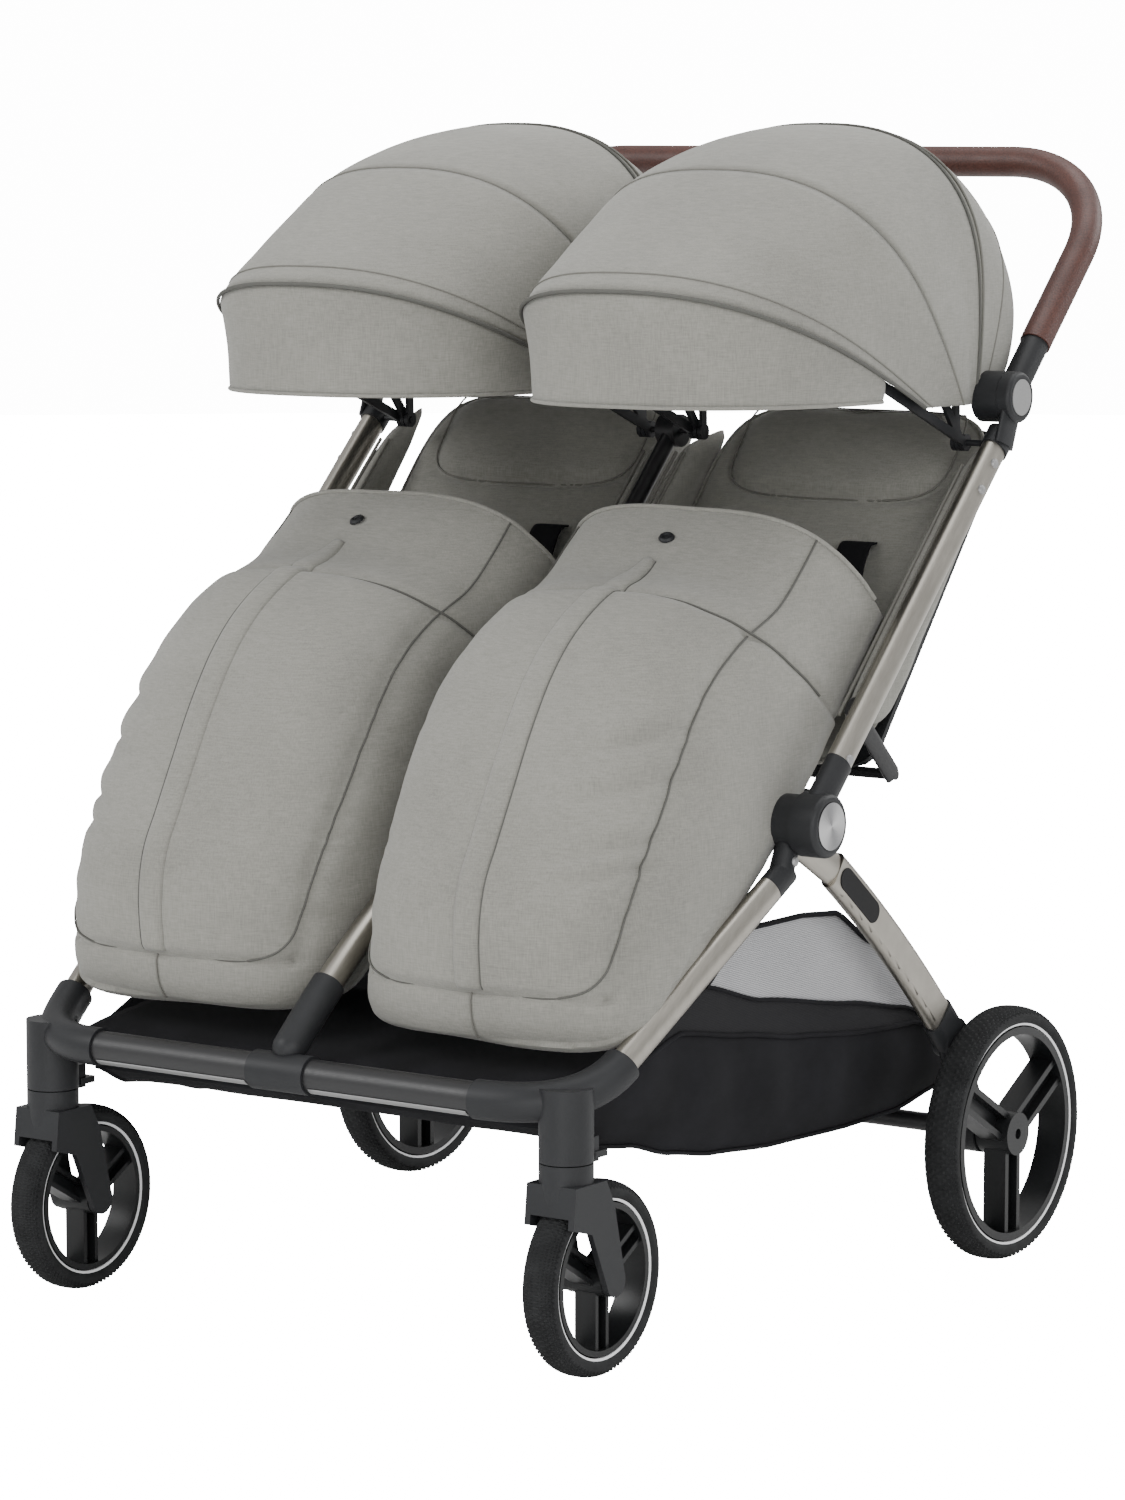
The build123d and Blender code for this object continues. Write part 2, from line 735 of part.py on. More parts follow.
muff_in = seat_gap / 2 + 7.5            # inner side, clear of the centre leg
muff_low_out = leg_foot_x - tube_across / 2 - 5     # outer side between the front legs
muff_out = leg_top_x - tube_across / 2 - 4          # outer side above the front legs
muff_outline = [
    (fold_y - 262, fold_z - 128),
    (fold_y - 257, fold_z - 168),
    (fold_y - 160, fold_z - 196),
    (fold_y - 92, fold_z - 172),
    (fold_y + 62, fold_z + 42),
    (fold_y + 180, fold_z + 160),
    (fold_y + 176, fold_z + 236),
    (fold_y + 76, fold_z + 268),
    (fold_y - 4, fold_z + 208),
    (fold_y - 96, fold_z + 172),
    (fold_y - 168, fold_z + 124),
    (fold_y - 214, fold_z + 44),
]
muff_wall = 12.0
muff_leg_clear = 18.0        # from the middle of a front leg to the wider part of the muff


def footmuff():
    """Padded foot cover: closed round the feet, open towards the backrest."""
    outer = side_block(muff_outline, muff_in, muff_out)
    outer = fillet(outer.edges().filter_by(Axis.X), 18)
    below_leg = slab(
        at(0, leg_foot) - leg_along * 200 + leg_above * muff_leg_clear,
        leg_along,
        leg_above,
        900,
        400,
        muff_low_out,
        tube_x,
    )
    outer -= below_leg
    middle = Vector(0, fold_y - 96, fold_z + 4)
    cavity = []
    for y, z in muff_outline:
        spoke = Vector(0, y, z) - middle
        cavity.append(middle + spoke * (1 - muff_wall / spoke.length))
    cavity_points = [(p.Y, p.Z) for p in cavity]
    inner = side_block(cavity_points, muff_in + muff_wall, muff_low_out - muff_wall)
    mouth = slab(
        back_foot + back_along * 60 + back_above * 190,
        back_along,
        back_above,
        190,
        230,
        muff_in + muff_wall,
        muff_low_out - muff_wall,
    )
    seat_space = slab(
        pan_start + pan_above * (cushion_thick + 2 * soft_gap + 1) + Vector(0, 90, 0),
        pan_along,
        pan_above,
        seat_depth + 102,
        cushion_thick + pan_thick + 40,
        0,
        tube_x,
    )
    behind = slab(
        back_foot - back_along * 300 + back_above * soft_gap,
        back_along,
        back_above,
        900,
        400,
        0,
        seat_pitch + 20,
    )
    return outer - inner - mouth - seat_space - behind


# --- hoods ---

hood_half = seat_width / 2 - 6
bow_inset = 5.0             # the front bow lies this far inside the fabric, and the others inside it in turn


def bow_end(reach, rise):
    """Side-view point measured from the hood's foot: forwards and up."""
    return hood_foot + Vector(0, -reach, rise)


front_bow_top = bow_end(371, 148)
middle_bow_top = bow_end(205, 256)
rear_bow_top = bow_end(10, 291)
rear_edge_top = bow_end(-130, 157)


def hood_bow(top, turn):
    """Flat springy strip bent into a U, with an eye at each foot. Each turn nests inside the one before."""
    inset = bow_inset * turn
    reach = (top - hood_foot).length - 4 * turn
    half = hood_half - inset
    shoulder = reach * 0.62
    plane = Plane(at(seat_x, hood_foot), x_dir=(1, 0, 0), z_dir=Vector(1, 0, 0).cross(top - hood_foot))
    outer = bow_face(half, shoulder, reach - inset)
    inner = bow_face(half - hood_bow_thick, shoulder, reach - inset - hood_bow_thick)
    shape = extrude(plane * (outer - inner), hood_bow_across / 2, both=True)
    for side in (-1, 1):
        near = seat_x + side * half
        far = near - side * hood_bow_thick
        shape += disc(min(near, far), max(near, far), hood_foot, 8)
        shape -= disc(min(near, far) - 1, max(near, far) + 1, hood_foot, hood_pin_radius + running_fit)
    return shape


def bow_face(half, shoulder, reach):
    """Face inside a bow's line."""
    face = Pos(0, shoulder / 2) * Rectangle(2 * half, shoulder)
    return face + Pos(0, shoulder) * Ellipse(half, reach - shoulder)


def hood_solid(inset):
    """Outer volume of a hood, or of the space under it."""
    low = hood_foot + Vector(0, -20, 14)
    visor_low = front_bow_top + Vector(0, 10, -visor_drop)
    side_points = [
        (low.Y, low.Z),
        (visor_low.Y + inset, visor_low.Z),
        (front_bow_top.Y + inset, front_bow_top.Z),
        (front_bow_top.Y + 24 + inset, front_bow_top.Z + 54 - inset),
        (middle_bow_top.Y, middle_bow_top.Z - inset),
        (rear_bow_top.Y - 60, rear_bow_top.Z + 4 - inset),
        (rear_bow_top.Y + 20, rear_bow_top.Z - 2 - inset),
        (rear_edge_top.Y - 30, rear_edge_top.Z + 50 - inset),
        (rear_edge_top.Y - inset, rear_edge_top.Z),
        (rear_edge_top.Y - 18 - inset, rear_edge_top.Z - 46),
    ]
    body = side_block(side_points, seat_x - hood_half + inset, seat_x + hood_half - inset)
    height = rear_bow_top.Z + 6 - inset - (low.Z + 150)
    arch = Pos(seat_x, 0, low.Z + 150) * Rot(90, 0, 0) * Ellipse(hood_half - inset, height)
    arch = extrude(arch, 800, both=True)
    arch += Pos(seat_x, 0, low.Z - 50) * Box(2 * (hood_half - inset), 1600, 400)
    nose_y = front_bow_top.Y + 110
    nose = Pos(seat_x, nose_y, 0) * Ellipse(hood_half - inset, 110 - inset)
    nose = extrude(nose, 2000)
    nose += Pos(seat_x, nose_y + 400, 1000) * Box(2 * (hood_half - inset), 800, 2000)
    return body & arch & nose


def hood():
    """Fabric hood of one seat: a closed skin, open below."""
    inner = hood_solid(fabric)
    return hood_solid(0) - inner - Pos(0, 2, -fabric - 2) * inner - Pos(0, 0, -20) * inner


# --- basket ---


def basket_points(inset):
    """Side-view outline of the shopping basket."""
    front = crossbar_y + casting_radius + 26
    swivel_clear = castor_y + castor_trail + front_wheel_radius + 4
    back = rear_axle_y - axle_tube_radius - 20
    return [
        (front + inset, crossbar_z - 34),
        (front + 40 + inset, crossbar_z - 56 + inset),
        (swivel_clear + inset, crossbar_z - 62 + inset),
        (swivel_clear + 44 + inset, crossbar_z - 98 + inset),
        (back - 90, crossbar_z - 104 + inset),
        (back - inset, crossbar_z - 92 + inset),
        (back - inset, crossbar_z - 10),
        (fold_y + 240, fold_z - 132),
        (fold_y + 30, fold_z - 100),
        (fold_y - 60, fold_z - 160),
    ]


def basket():
    """Fabric shopping basket under the seats, open above."""
    outer = side_block(basket_points(0), -basket_half_width, basket_half_width)
    inner_half = basket_half_width - basket_wall
    inner = side_block(basket_points(basket_wall), -inner_half, inner_half)
    shape = outer - inner - Pos(0, 0, basket_wall + 1) * inner
    notch_y = castor_y + stem_radius + lock_reach + 8
    notch_x = castor_x - stem_radius - 4
    notch = Pos(notch_x + 100, notch_y - 100, crossbar_z) * Box(200, 200, 200)
    front = basket_points(0)[0]
    hem_y = crossbar_y + crossbar_radius + soft_gap
    hem = side_block(
        [
            (hem_y, crossbar_z + 5),
            (hem_y, crossbar_z - 5),
            (front[0] + basket_wall, front[1]),
            (front[0] + basket_wall, front[1] + 12),
        ],
        hem_in,
        hem_out,
    )
    return shape - notch - mirror(notch, Plane.YZ) + both(hem)


# --- write every sub-part ---


def main():
    os.makedirs("parts", exist_ok=True)
    keep("front_crossbar", front_crossbar())
    keep_sides("front_casting", front_casting())
    keep("front_centre_casting", front_centre_casting())
    keep_sides("front_leg", front_leg())
    keep("centre_leg", centre_leg())
    keep("leg_brackets", both(leg_bracket()))
    keep("fold_cross_tube", fold_cross_tube())
    keep("centre_hub", centre_hub())
    keep_sides("hub_housing", hub_housing())
    keep("hub_caps", hub_caps())
    keep_sides("upper_tube", upper_tube())
    keep_sides("pivot_housing", pivot_housing())
    keep("back_cross_rod", back_cross_rod())
    keep("centre_upright", centre_upright())
    keep_sides("rear_leg", rear_leg())
    keep("leg_insets", leg_insets())
    keep("rear_feet", rear_feet())
    keep("rear_axle_tube", rear_axle_tube())
    keep("brake_pedal", brake_pedal())
    keep_sides("castor_fork", castor_fork())
    keep_sides("swivel_lock", swivel_lock())
    keep_sides("castor_tyre", tyre(castor_x, castor_axle, front_wheel_radius, front_tyre_width))
    keep_sides("castor_rim", rim(castor_x, castor_axle, front_wheel_radius, front_tyre_width, fork_gap - 0.4))
    keep_sides("rear_tyre", tyre(rear_wheel_x, rear_axle, rear_wheel_radius, rear_tyre_width))
    keep_sides("rear_rim", rim(rear_wheel_x, rear_axle, rear_wheel_radius, rear_tyre_width, rear_tyre_width / 2 - 0.5))
    keep("handle_tube", handle_tube())
    keep("handle_grip", handle_grip())
    keep("handle_knuckles", handle_knuckles())
    keep("pivot_caps", pivot_caps())
    keep("button_saddle", button_saddle())
    keep("fold_button", fold_button())
    keep("seat_pans", seat_pans())
    keep_sides("seat_cushion", seat_cushion())
    keep_sides("back_board", back_board())
    keep_sides("back_cushion", back_cushion())
    keep_sides("footmuff", footmuff())
    keep_sides("hood_front_bow", hood_bow(front_bow_top, 1))
    keep_sides("hood_middle_bow", hood_bow(middle_bow_top, 2))
    keep("hood_rear_bows", both(hood_bow(rear_bow_top, 3)))
    keep_sides("hood", hood())
    keep("basket", basket())


main()
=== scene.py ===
import json
import math
import random

import bmesh
import bpy
from mathutils import Matrix, Vector, noise
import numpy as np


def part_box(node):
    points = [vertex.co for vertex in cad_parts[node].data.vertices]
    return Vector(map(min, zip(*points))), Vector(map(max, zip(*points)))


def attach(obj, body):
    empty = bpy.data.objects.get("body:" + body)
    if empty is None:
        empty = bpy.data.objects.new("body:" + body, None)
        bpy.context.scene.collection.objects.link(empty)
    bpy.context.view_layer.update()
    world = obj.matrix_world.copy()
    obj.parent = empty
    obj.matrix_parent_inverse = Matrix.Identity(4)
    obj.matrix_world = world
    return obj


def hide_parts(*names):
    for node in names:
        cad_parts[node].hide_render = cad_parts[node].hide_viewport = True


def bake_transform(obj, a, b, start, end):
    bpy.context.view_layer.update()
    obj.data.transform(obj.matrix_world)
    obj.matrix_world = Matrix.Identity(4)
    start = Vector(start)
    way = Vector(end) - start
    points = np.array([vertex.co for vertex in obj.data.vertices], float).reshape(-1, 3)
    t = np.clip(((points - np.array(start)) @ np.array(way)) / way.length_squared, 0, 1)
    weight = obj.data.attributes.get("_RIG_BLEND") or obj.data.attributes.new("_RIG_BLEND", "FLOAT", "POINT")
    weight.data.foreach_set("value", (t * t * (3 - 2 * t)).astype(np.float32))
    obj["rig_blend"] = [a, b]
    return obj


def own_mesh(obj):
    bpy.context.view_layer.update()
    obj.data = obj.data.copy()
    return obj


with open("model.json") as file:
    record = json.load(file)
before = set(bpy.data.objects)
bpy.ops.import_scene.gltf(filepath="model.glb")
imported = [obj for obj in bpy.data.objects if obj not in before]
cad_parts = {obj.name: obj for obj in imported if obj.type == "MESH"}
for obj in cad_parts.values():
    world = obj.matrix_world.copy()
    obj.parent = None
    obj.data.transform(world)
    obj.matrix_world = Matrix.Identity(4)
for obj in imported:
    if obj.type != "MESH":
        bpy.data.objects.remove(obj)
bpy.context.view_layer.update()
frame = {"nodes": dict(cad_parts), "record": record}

random.seed(7)
nodes = frame["nodes"]
print("frame loaded:", len(nodes), "nodes")


# Camera and light

view = {
    "eye": (2.7142, -3.8608, 1.0818),
    "turn": 35.1158,            # degrees to the left of straight ahead
    "tilt": 7.1605,             # degrees below the horizon
    "lens": 120.11,
    "floor": (0.93, 0.93, 0.925),
    "backdrop": 18.0,            # brightness of the white surroundings as the camera sees them
}


def placeCamera():
    data = bpy.data.cameras.new("camera")
    data.sensor_fit = "VERTICAL"
    data.sensor_height = 36
    data.lens = view["lens"]
    camera = bpy.data.objects.new("camera", data)
    camera.location = view["eye"]
    camera.rotation_euler = (math.radians(90 - view["tilt"]), 0, math.radians(view["turn"]))
    bpy.context.scene.collection.objects.link(camera)
    bpy.context.scene.camera = camera


def softLight(name, place, aim, size, power):
    data = bpy.data.lights.new(name, "AREA")
    data.shape = "DISK"
    data.size = size
    data.energy = power
    lamp = bpy.data.objects.new(name, data)
    lamp.location = place
    lamp.rotation_euler = (Vector(aim) - Vector(place)).to_track_quat("-Z", "Y").to_euler()
    bpy.context.scene.collection.objects.link(lamp)


def placeLights():
    softLight("key", (-2.2, -3.4, 3.0), (0, 0, 0.6), 2.4, 108)
    softLight("front", (1.4, -3.8, 0.7), (0, 0, 0.7), 1.6, 34)
    softLight("fill", (3.4, -2.2, 1.9), (0, 0, 0.5), 2.6, 70)
    softLight("top", (0.3, 0.6, 3.8), (0, 0, 0.6), 3.0, 75)
    softLight("rim", (1.8, 3.2, 2.4), (0, 0, 0.7), 2.0, 60)
    world = bpy.data.worlds.new("studio")
    world.use_nodes = True
    nodes = world.node_tree.nodes
    links = world.node_tree.links
    around = nodes["Background"]
    around.inputs["Color"].default_value = (1, 1, 1, 1)
    around.inputs["Strength"].default_value = 0.75
    backdrop = nodes.new("ShaderNodeBackground")
    backdrop.inputs["Strength"].default_value = view["backdrop"]
    seen = nodes.new("ShaderNodeLightPath")
    chosen = nodes.new("ShaderNodeMixShader")
    links.new(seen.outputs["Is Camera Ray"], chosen.inputs[0])
    links.new(around.outputs[0], chosen.inputs[1])
    links.new(backdrop.outputs[0], chosen.inputs[2])
    links.new(chosen.outputs[0], nodes["World Output"].inputs["Surface"])
    bpy.context.scene.world = world


placeCamera()
placeLights()


# Shader maths

class Wire:
    # an output socket, with the arithmetic that the finishes need
    def __init__(self, recipe, socket):
        self.recipe = recipe
        self.socket = socket

    def sums(self, operation, first, second=0.0):
        return self.recipe.node("ShaderNodeMath", {"operation": operation}, {0: first, 1: second})

    def __add__(self, other):
        return self.sums("ADD", self, other)

    def __radd__(self, other):
        return self.sums("ADD", other, self)

    def __sub__(self, other):
        return self.sums("SUBTRACT", self, other)

    def __rsub__(self, other):
        return self.sums("SUBTRACT", other, self)

    def __mul__(self, other):
        return self.sums("MULTIPLY", self, other)

    def __rmul__(self, other):
        return self.sums("MULTIPLY", other, self)

    def __truediv__(self, other):
        return self.sums("DIVIDE", self, other)

    def __gt__(self, other):
        return self.sums("GREATER_THAN", self, other)

    def __lt__(self, other):
        return self.sums("LESS_THAN", self, other)

    def apply(self, operation, other=0.0):
        return self.sums(operation, self, other)


class Recipe:
    def __init__(self, name, colour, roughness=0.5, metallic=0.0, coat=0.0, sheen=0.0, specular=0.5):
        self.material = bpy.data.materials.new(name)
        self.material.use_nodes = True
        self.tree = self.material.node_tree
        self.shader = self.tree.nodes["Principled BSDF"]
        self.material.diffuse_color = (*colour, 1)
        self.shader.inputs["Base Color"].default_value = (*colour, 1)
        self.shader.inputs["Roughness"].default_value = roughness
        self.shader.inputs["Metallic"].default_value = metallic
        self.shader.inputs["Coat Weight"].default_value = coat
        self.shader.inputs["Coat Roughness"].default_value = 0.35
        self.shader.inputs["Sheen Weight"].default_value = sheen
        self.shader.inputs["Sheen Roughness"].default_value = 0.6
        self.shader.inputs["Specular IOR Level"].default_value = specular

    def node(self, kind, settings=None, sockets=None, output=0):
        made = self.tree.nodes.new(kind)
        for key, value in (settings or {}).items():
            if key == "stops":
                ramp = made.color_ramp
                while len(ramp.elements) < len(value):
                    ramp.elements.new(0.5)
                for element, (place, colour) in zip(ramp.elements, value):
                    element.position = place
                    element.color = colour
            else:
                setattr(made, key, value)
        for key, value in (sockets or {}).items():
            if isinstance(value, Wire):
                self.tree.links.new(value.socket, made.inputs[key])
            else:
                made.inputs[key].default_value = value
        return Wire(self, made.outputs[output])

    def feed(self, socket, wire):
        self.tree.links.new(wire.socket, self.shader.inputs[socket])

    def place(self):
        return self.node("ShaderNodeTexCoord", output="Object")

    def split(self, vector):
        made = self.tree.nodes.new("ShaderNodeSeparateXYZ")
        self.tree.links.new(vector.socket, made.inputs[0])
        return [Wire(self, made.outputs[i]) for i in range(3)]

    def stretched(self, vector, scale):
        return self.node("ShaderNodeMapping", None, {"Vector": vector, "Scale": scale})

    def speckle(self, vector, scale, detail=2.0, rough=0.5):
        sockets = {"Vector": vector, "Scale": scale, "Detail": detail, "Roughness": rough}
        return self.node("ShaderNodeTexNoise", None, sockets)

    def mix(self, factor, first, second):
        settings = {"data_type": "RGBA"}
        made = self.tree.nodes.new("ShaderNodeMix")
        made.data_type = settings["data_type"]
        for index, value in ((0, factor), (6, first), (7, second)):
            if isinstance(value, Wire):
                self.tree.links.new(value.socket, made.inputs[index])
            elif index:
                made.inputs[index].default_value = (*value, 1)
            else:
                made.inputs[index].default_value = value
        return Wire(self, made.outputs[2])

    def ramp(self, value, low, high):
        sockets = {"Value": value, 1: low, 2: high, 3: 0.0, 4: 1.0}
        return self.node("ShaderNodeMapRange", {"clamp": True}, sockets)

    def bump(self, height, strength, distance):
        sockets = {"Height": height, "Strength": strength, "Distance": distance}
        self.feed("Normal", self.node("ShaderNodeBump", None, sockets))


def linear(*shown):
    # colour as seen on a screen, 0 to 255, to the linear colour that shaders use
    return tuple(((c / 255 + 0.055) / 1.055) ** 2.4 if c > 10 else c / 255 / 12.92 for c in shown)


# Finishes

cloth = {"base": linear(124, 123, 116), "dark": linear(111, 110, 104), "pale": linear(136, 135, 128)}


def greyCloth():
    # warm grey melange: slubs along warp and weft, over a fine plain weave
    finish = Recipe("greyMelange", cloth["base"], roughness=0.92, sheen=0.18, specular=0.25)
    place = finish.place()
    across = finish.speckle(finish.stretched(place, (90, 90, 900)), 1.0, 3.0, 0.6)
    along = finish.speckle(finish.stretched(place, (800, 800, 70)), 1.0, 3.0, 0.6)
    clouds = finish.speckle(place, 9.0, 3.0)
    slubs = across * 0.5 + along * 0.5
    tone = finish.ramp(slubs * 0.75 + clouds * 0.25, 0.36, 0.64)
    darker = finish.mix(tone, cloth["dark"], cloth["pale"])
    finish.feed("Base Color", darker)
    x, y, z = finish.split(place)
    weave = 5200.0
    threads = (x * weave + y * weave).apply("SINE") * (z * weave).apply("SINE")
    grain = threads * 0.3 + slubs
    finish.bump(grain, 0.22, 0.0006)
    finish.feed("Roughness", finish.ramp(slubs, 0.2, 0.8) * 0.1 + 0.86)
    return finish.material


def blackCloth():
    finish = Recipe("blackNylon", linear(38, 38, 41), roughness=0.9, specular=0.15)
    place = finish.place()
    x, y, z = finish.split(place)
    threads = (x * 4200.0 + y * 4200.0).apply("SINE") * (z * 4200.0).apply("SINE")
    clouds = finish.speckle(place, 14.0, 4.0)
    tone = finish.ramp(clouds, 0.35, 0.65)
    finish.feed("Base Color", finish.mix(tone, linear(20, 20, 22), linear(28, 28, 31)))
    finish.bump(threads * 0.5 + clouds, 0.2, 0.0008)
    return finish.material


def meshCloth():
    # open knitted mesh, grey-white threads with dark holes between
    finish = Recipe("paleMesh", linear(200, 200, 200), roughness=0.8, specular=0.3)
    x, y, z = finish.split(finish.place())
    pitch = 2 * math.pi / 0.0034
    slant = (y * pitch + z * pitch).apply("SINE") * (y * pitch - z * pitch).apply("SINE")
    holes = finish.ramp(slant, 0.05, 0.3)
    finish.feed("Base Color", finish.mix(holes, linear(176, 176, 178), linear(96, 97, 100)))
    finish.bump(1 - holes, 0.4, 0.0006)
    return finish.material


def blackKnit():
    finish = Recipe("blackKnit", linear(30, 30, 33), roughness=0.85, specular=0.3)
    x, y, z = finish.split(finish.place())
    pitch = 2 * math.pi / 0.0030
    slant = (y * pitch + z * pitch).apply("SINE") * (y * pitch - z * pitch).apply("SINE")
    holes = finish.ramp(slant, 0.05, 0.35)
    finish.feed("Base Color", finish.mix(holes, linear(27, 27, 30), linear(9, 9, 10)))
    finish.bump(1 - holes, 0.4, 0.0006)
    return finish.material


def blackPlastic(name="charcoalPlastic", colour=(27, 28, 30), roughness=0.5):
    finish = Recipe(name, linear(*colour), roughness=roughness, specular=0.3)
    place = finish.place()
    grain = finish.speckle(place, 1500.0, 2.0)
    clouds = finish.speckle(place, 22.0, 3.0)
    pale = linear(*[c + 6 for c in colour])
    finish.feed("Base Color", finish.mix(finish.ramp(clouds, 0.3, 0.7), linear(*colour), pale))
    finish.feed("Roughness", finish.ramp(clouds, 0.2, 0.8) * 0.12 + (roughness - 0.06))
    finish.bump(grain, 0.12, 0.0003)
    return finish.material


def satinTube():
    # champagne-silver anodised aluminium with a faint lengthwise draw grain
    finish = Recipe("satinChampagne", linear(186, 182, 173), roughness=0.34, metallic=1.0)
    place = finish.place()
    grain = finish.speckle(finish.stretched(place, (700, 60, 60)), 1.0, 3.0)
    clouds = finish.speckle(place, 12.0, 2.0)
    finish.feed("Base Color", finish.mix(grain, linear(148, 144, 136), linear(170, 166, 158)))
    finish.feed("Roughness", finish.ramp(clouds, 0.2, 0.8) * 0.1 + 0.31)
    finish.bump(grain, 0.05, 0.0002)
    return finish.material


def blackTube():
    finish = Recipe("blackPowderCoat", linear(36, 36, 38), roughness=0.42, specular=0.5)
    place = finish.place()
    peel = finish.speckle(place, 520.0, 2.0)
    finish.feed("Roughness", finish.ramp(peel, 0.3, 0.7) * 0.1 + 0.38)
    finish.feed("Base Color", finish.mix(peel, linear(21, 21, 22), linear(29, 29, 31)))
    finish.bump(peel, 0.12, 0.0003)
    return finish.material


def turnedCap():
    # radial brushing about the fold axis, with soft bright wedges painted in as the reflections a turned
    # face shows
    finish = Recipe("turnedAluminium", linear(205, 205, 205), roughness=0.28, metallic=1.0)
    low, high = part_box("hub_caps")
    middle = (low + high) / 2
    x, y, z = finish.split(finish.place())
    dy = y - middle.y
    dz = z - middle.z
    angle = dz.apply("ARCTAN2", dy)
    far = (dy * dy + dz * dz).apply("SQRT")
    rings = (far * 9000.0).apply("SINE")
    # painted reflection: bright and dark wedges by angle about the axis, mixed over the real turning rings
    paintedGlintWedges = (angle * 2.0 + 0.9).apply("SINE")
    tone = finish.ramp(paintedGlintWedges * 0.8 + rings * 0.2, -1.0, 1.0)
    finish.feed("Base Color", finish.mix(tone, linear(128, 128, 130), linear(205, 205, 205)))
    finish.feed("Roughness", finish.ramp(paintedGlintWedges, -1.0, 1.0) * 0.12 + 0.24)
    finish.bump(rings, 0.1, 0.0002)
    return finish.material


def greyDisc():
    finish = Recipe("greyDisc", linear(150, 150, 150), roughness=0.45, metallic=0.6)
    grain = finish.speckle(finish.place(), 900.0, 2.0)
    finish.feed("Base Color", finish.mix(grain, linear(140, 140, 140), linear(160, 160, 160)))
    finish.bump(grain, 0.08, 0.0002)
    return finish.material


def brownLeather():
    # fine-grained leatherette, pebbled, with painted shade darkening the creases
    finish = Recipe("brownLeatherette", linear(98, 62, 54), roughness=0.5, specular=0.45)
    place = finish.place()
    sockets = {"Vector": place, "Scale": 620.0}
    pebble = finish.node("ShaderNodeTexVoronoi", {"feature": "F1"}, sockets)
    clouds = finish.speckle(place, 30.0, 4.0)
    # painted shade where the pebble grain dips, plus random tone from the clouds
    tone = finish.ramp(pebble * 0.6 + clouds * 0.5, 0.2, 0.75)
    finish.feed("Base Color", finish.mix(tone, linear(84, 48, 39), linear(58, 31, 25)))
    finish.feed("Roughness", finish.ramp(clouds, 0.2, 0.8) * 0.16 + 0.4)
    finish.bump(1 - pebble, 0.25, 0.0006)
    return finish.material


def tyreRubber():
    finish = Recipe("tyreRubber", linear(40, 41, 43), roughness=0.78, specular=0.3)
    place = finish.place()
    dust = finish.speckle(place, 60.0, 5.0)
    tone = finish.ramp(dust, 0.35, 0.7)
    finish.feed("Base Color", finish.mix(tone, linear(20, 21, 22), linear(33, 34, 35)))
    finish.bump(finish.speckle(place, 900.0, 2.0), 0.15, 0.0004)
    return finish.material


def reflectiveRing():
    finish = Recipe("reflectiveWhite", linear(226, 227, 228), roughness=0.42, specular=0.5)
    place = finish.place()
    beads = finish.speckle(place, 1400.0, 2.0)
    finish.feed("Base Color", finish.mix(beads, linear(214, 215, 217), linear(238, 238, 239)))
    finish.bump(beads, 0.1, 0.0002)
    return finish.material


def seamShadowPiping():
    # dark piping cord: its darkness is painted shade along the seams and the zip flap's edge
    finish = Recipe("seamShadowPiping", linear(84, 84, 80), roughness=0.8, specular=0.3)
    grain = finish.speckle(finish.place(), 1200.0, 2.0)
    finish.feed("Base Color", finish.mix(grain, linear(72, 72, 68), linear(88, 88, 84)))
    finish.bump(grain, 0.2, 0.0004)
    return finish.material


def seamShadeCord():
    # seam cord darker than the cloth: painted shade in the seams
    finish = Recipe("shadedClothPiping", linear(138, 137, 130), roughness=0.9, specular=0.25)
    grain = finish.speckle(finish.place(), 900.0, 2.0)
    finish.feed("Base Color", finish.mix(grain, linear(98, 97, 92), linear(116, 115, 109)))
    finish.bump(grain, 0.2, 0.0004)
    return finish.material


finishes = {
    "cloth": greyCloth(),
    "nylon": blackCloth(),
    "mesh": meshCloth(),
    "knit": blackKnit(),
    "plastic": blackPlastic(),
    "rim": blackPlastic("rimPlastic", (17, 18, 19), 0.36),
    "rubber": blackPlastic("softRubber", (19, 19, 20), 0.8),
    "satin": satinTube(),
    "tube": blackTube(),
    "turned": turnedCap(),
    "disc": greyDisc(),
    "leather": brownLeather(),
    "tyre": tyreRubber(),
    "ring": reflectiveRing(),
    # piping: dark cord as painted seam shade
    "piping": seamShadowPiping(),
    # seam: cloth darkened as painted shade in the seams
    "seam": seamShadeCord(),
}
slotFinish = {
    "satin_aluminium": "satin",
    "black_tube": "tube",
    "black_plastic": "plastic",
    "black_rubber": "rubber",
    "tyre_rubber": "tyre",
    "rim_plastic": "rim",
    "brushed_aluminium": "turned",
    "grey_disc": "disc",
    "brown_leatherette": "leather",
    "grey_fabric": "cloth",
    "black_fabric": "nylon",
}


def dressNodes():
    slots = {row["node"]: row["material_slot"] for row in frame["record"]["subparts"]}
    for name, node in nodes.items():
        finish = finishes[slotFinish[slots[name]]]
        node.data.materials.clear()
        node.data.materials.append(finish)


dressNodes()
print("finishes made:", len(finishes))


# Makers that the pieces share

sides = {"left": 1, "right": -1}
seatX = (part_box("seat_cushion_left")[0].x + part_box("seat_cushion_left")[1].x) / 2


def smooth(mesh, angle=40):
    for face in mesh.polygons:
        face.use_smooth = True
    mesh.set_sharp_from_angle(angle=math.radians(angle))


def addPiece(name, shape, finish, angle=40):
    mesh = bpy.data.meshes.new(name)
    shape.to_mesh(mesh)
    shape.free()
    smooth(mesh, angle)
    mesh.materials.append(finishes[finish])
    piece = bpy.data.objects.new(name, mesh)
    bpy.context.scene.collection.objects.link(piece)
    return piece


def settle(piece, body):
    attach(piece, body)
    return piece


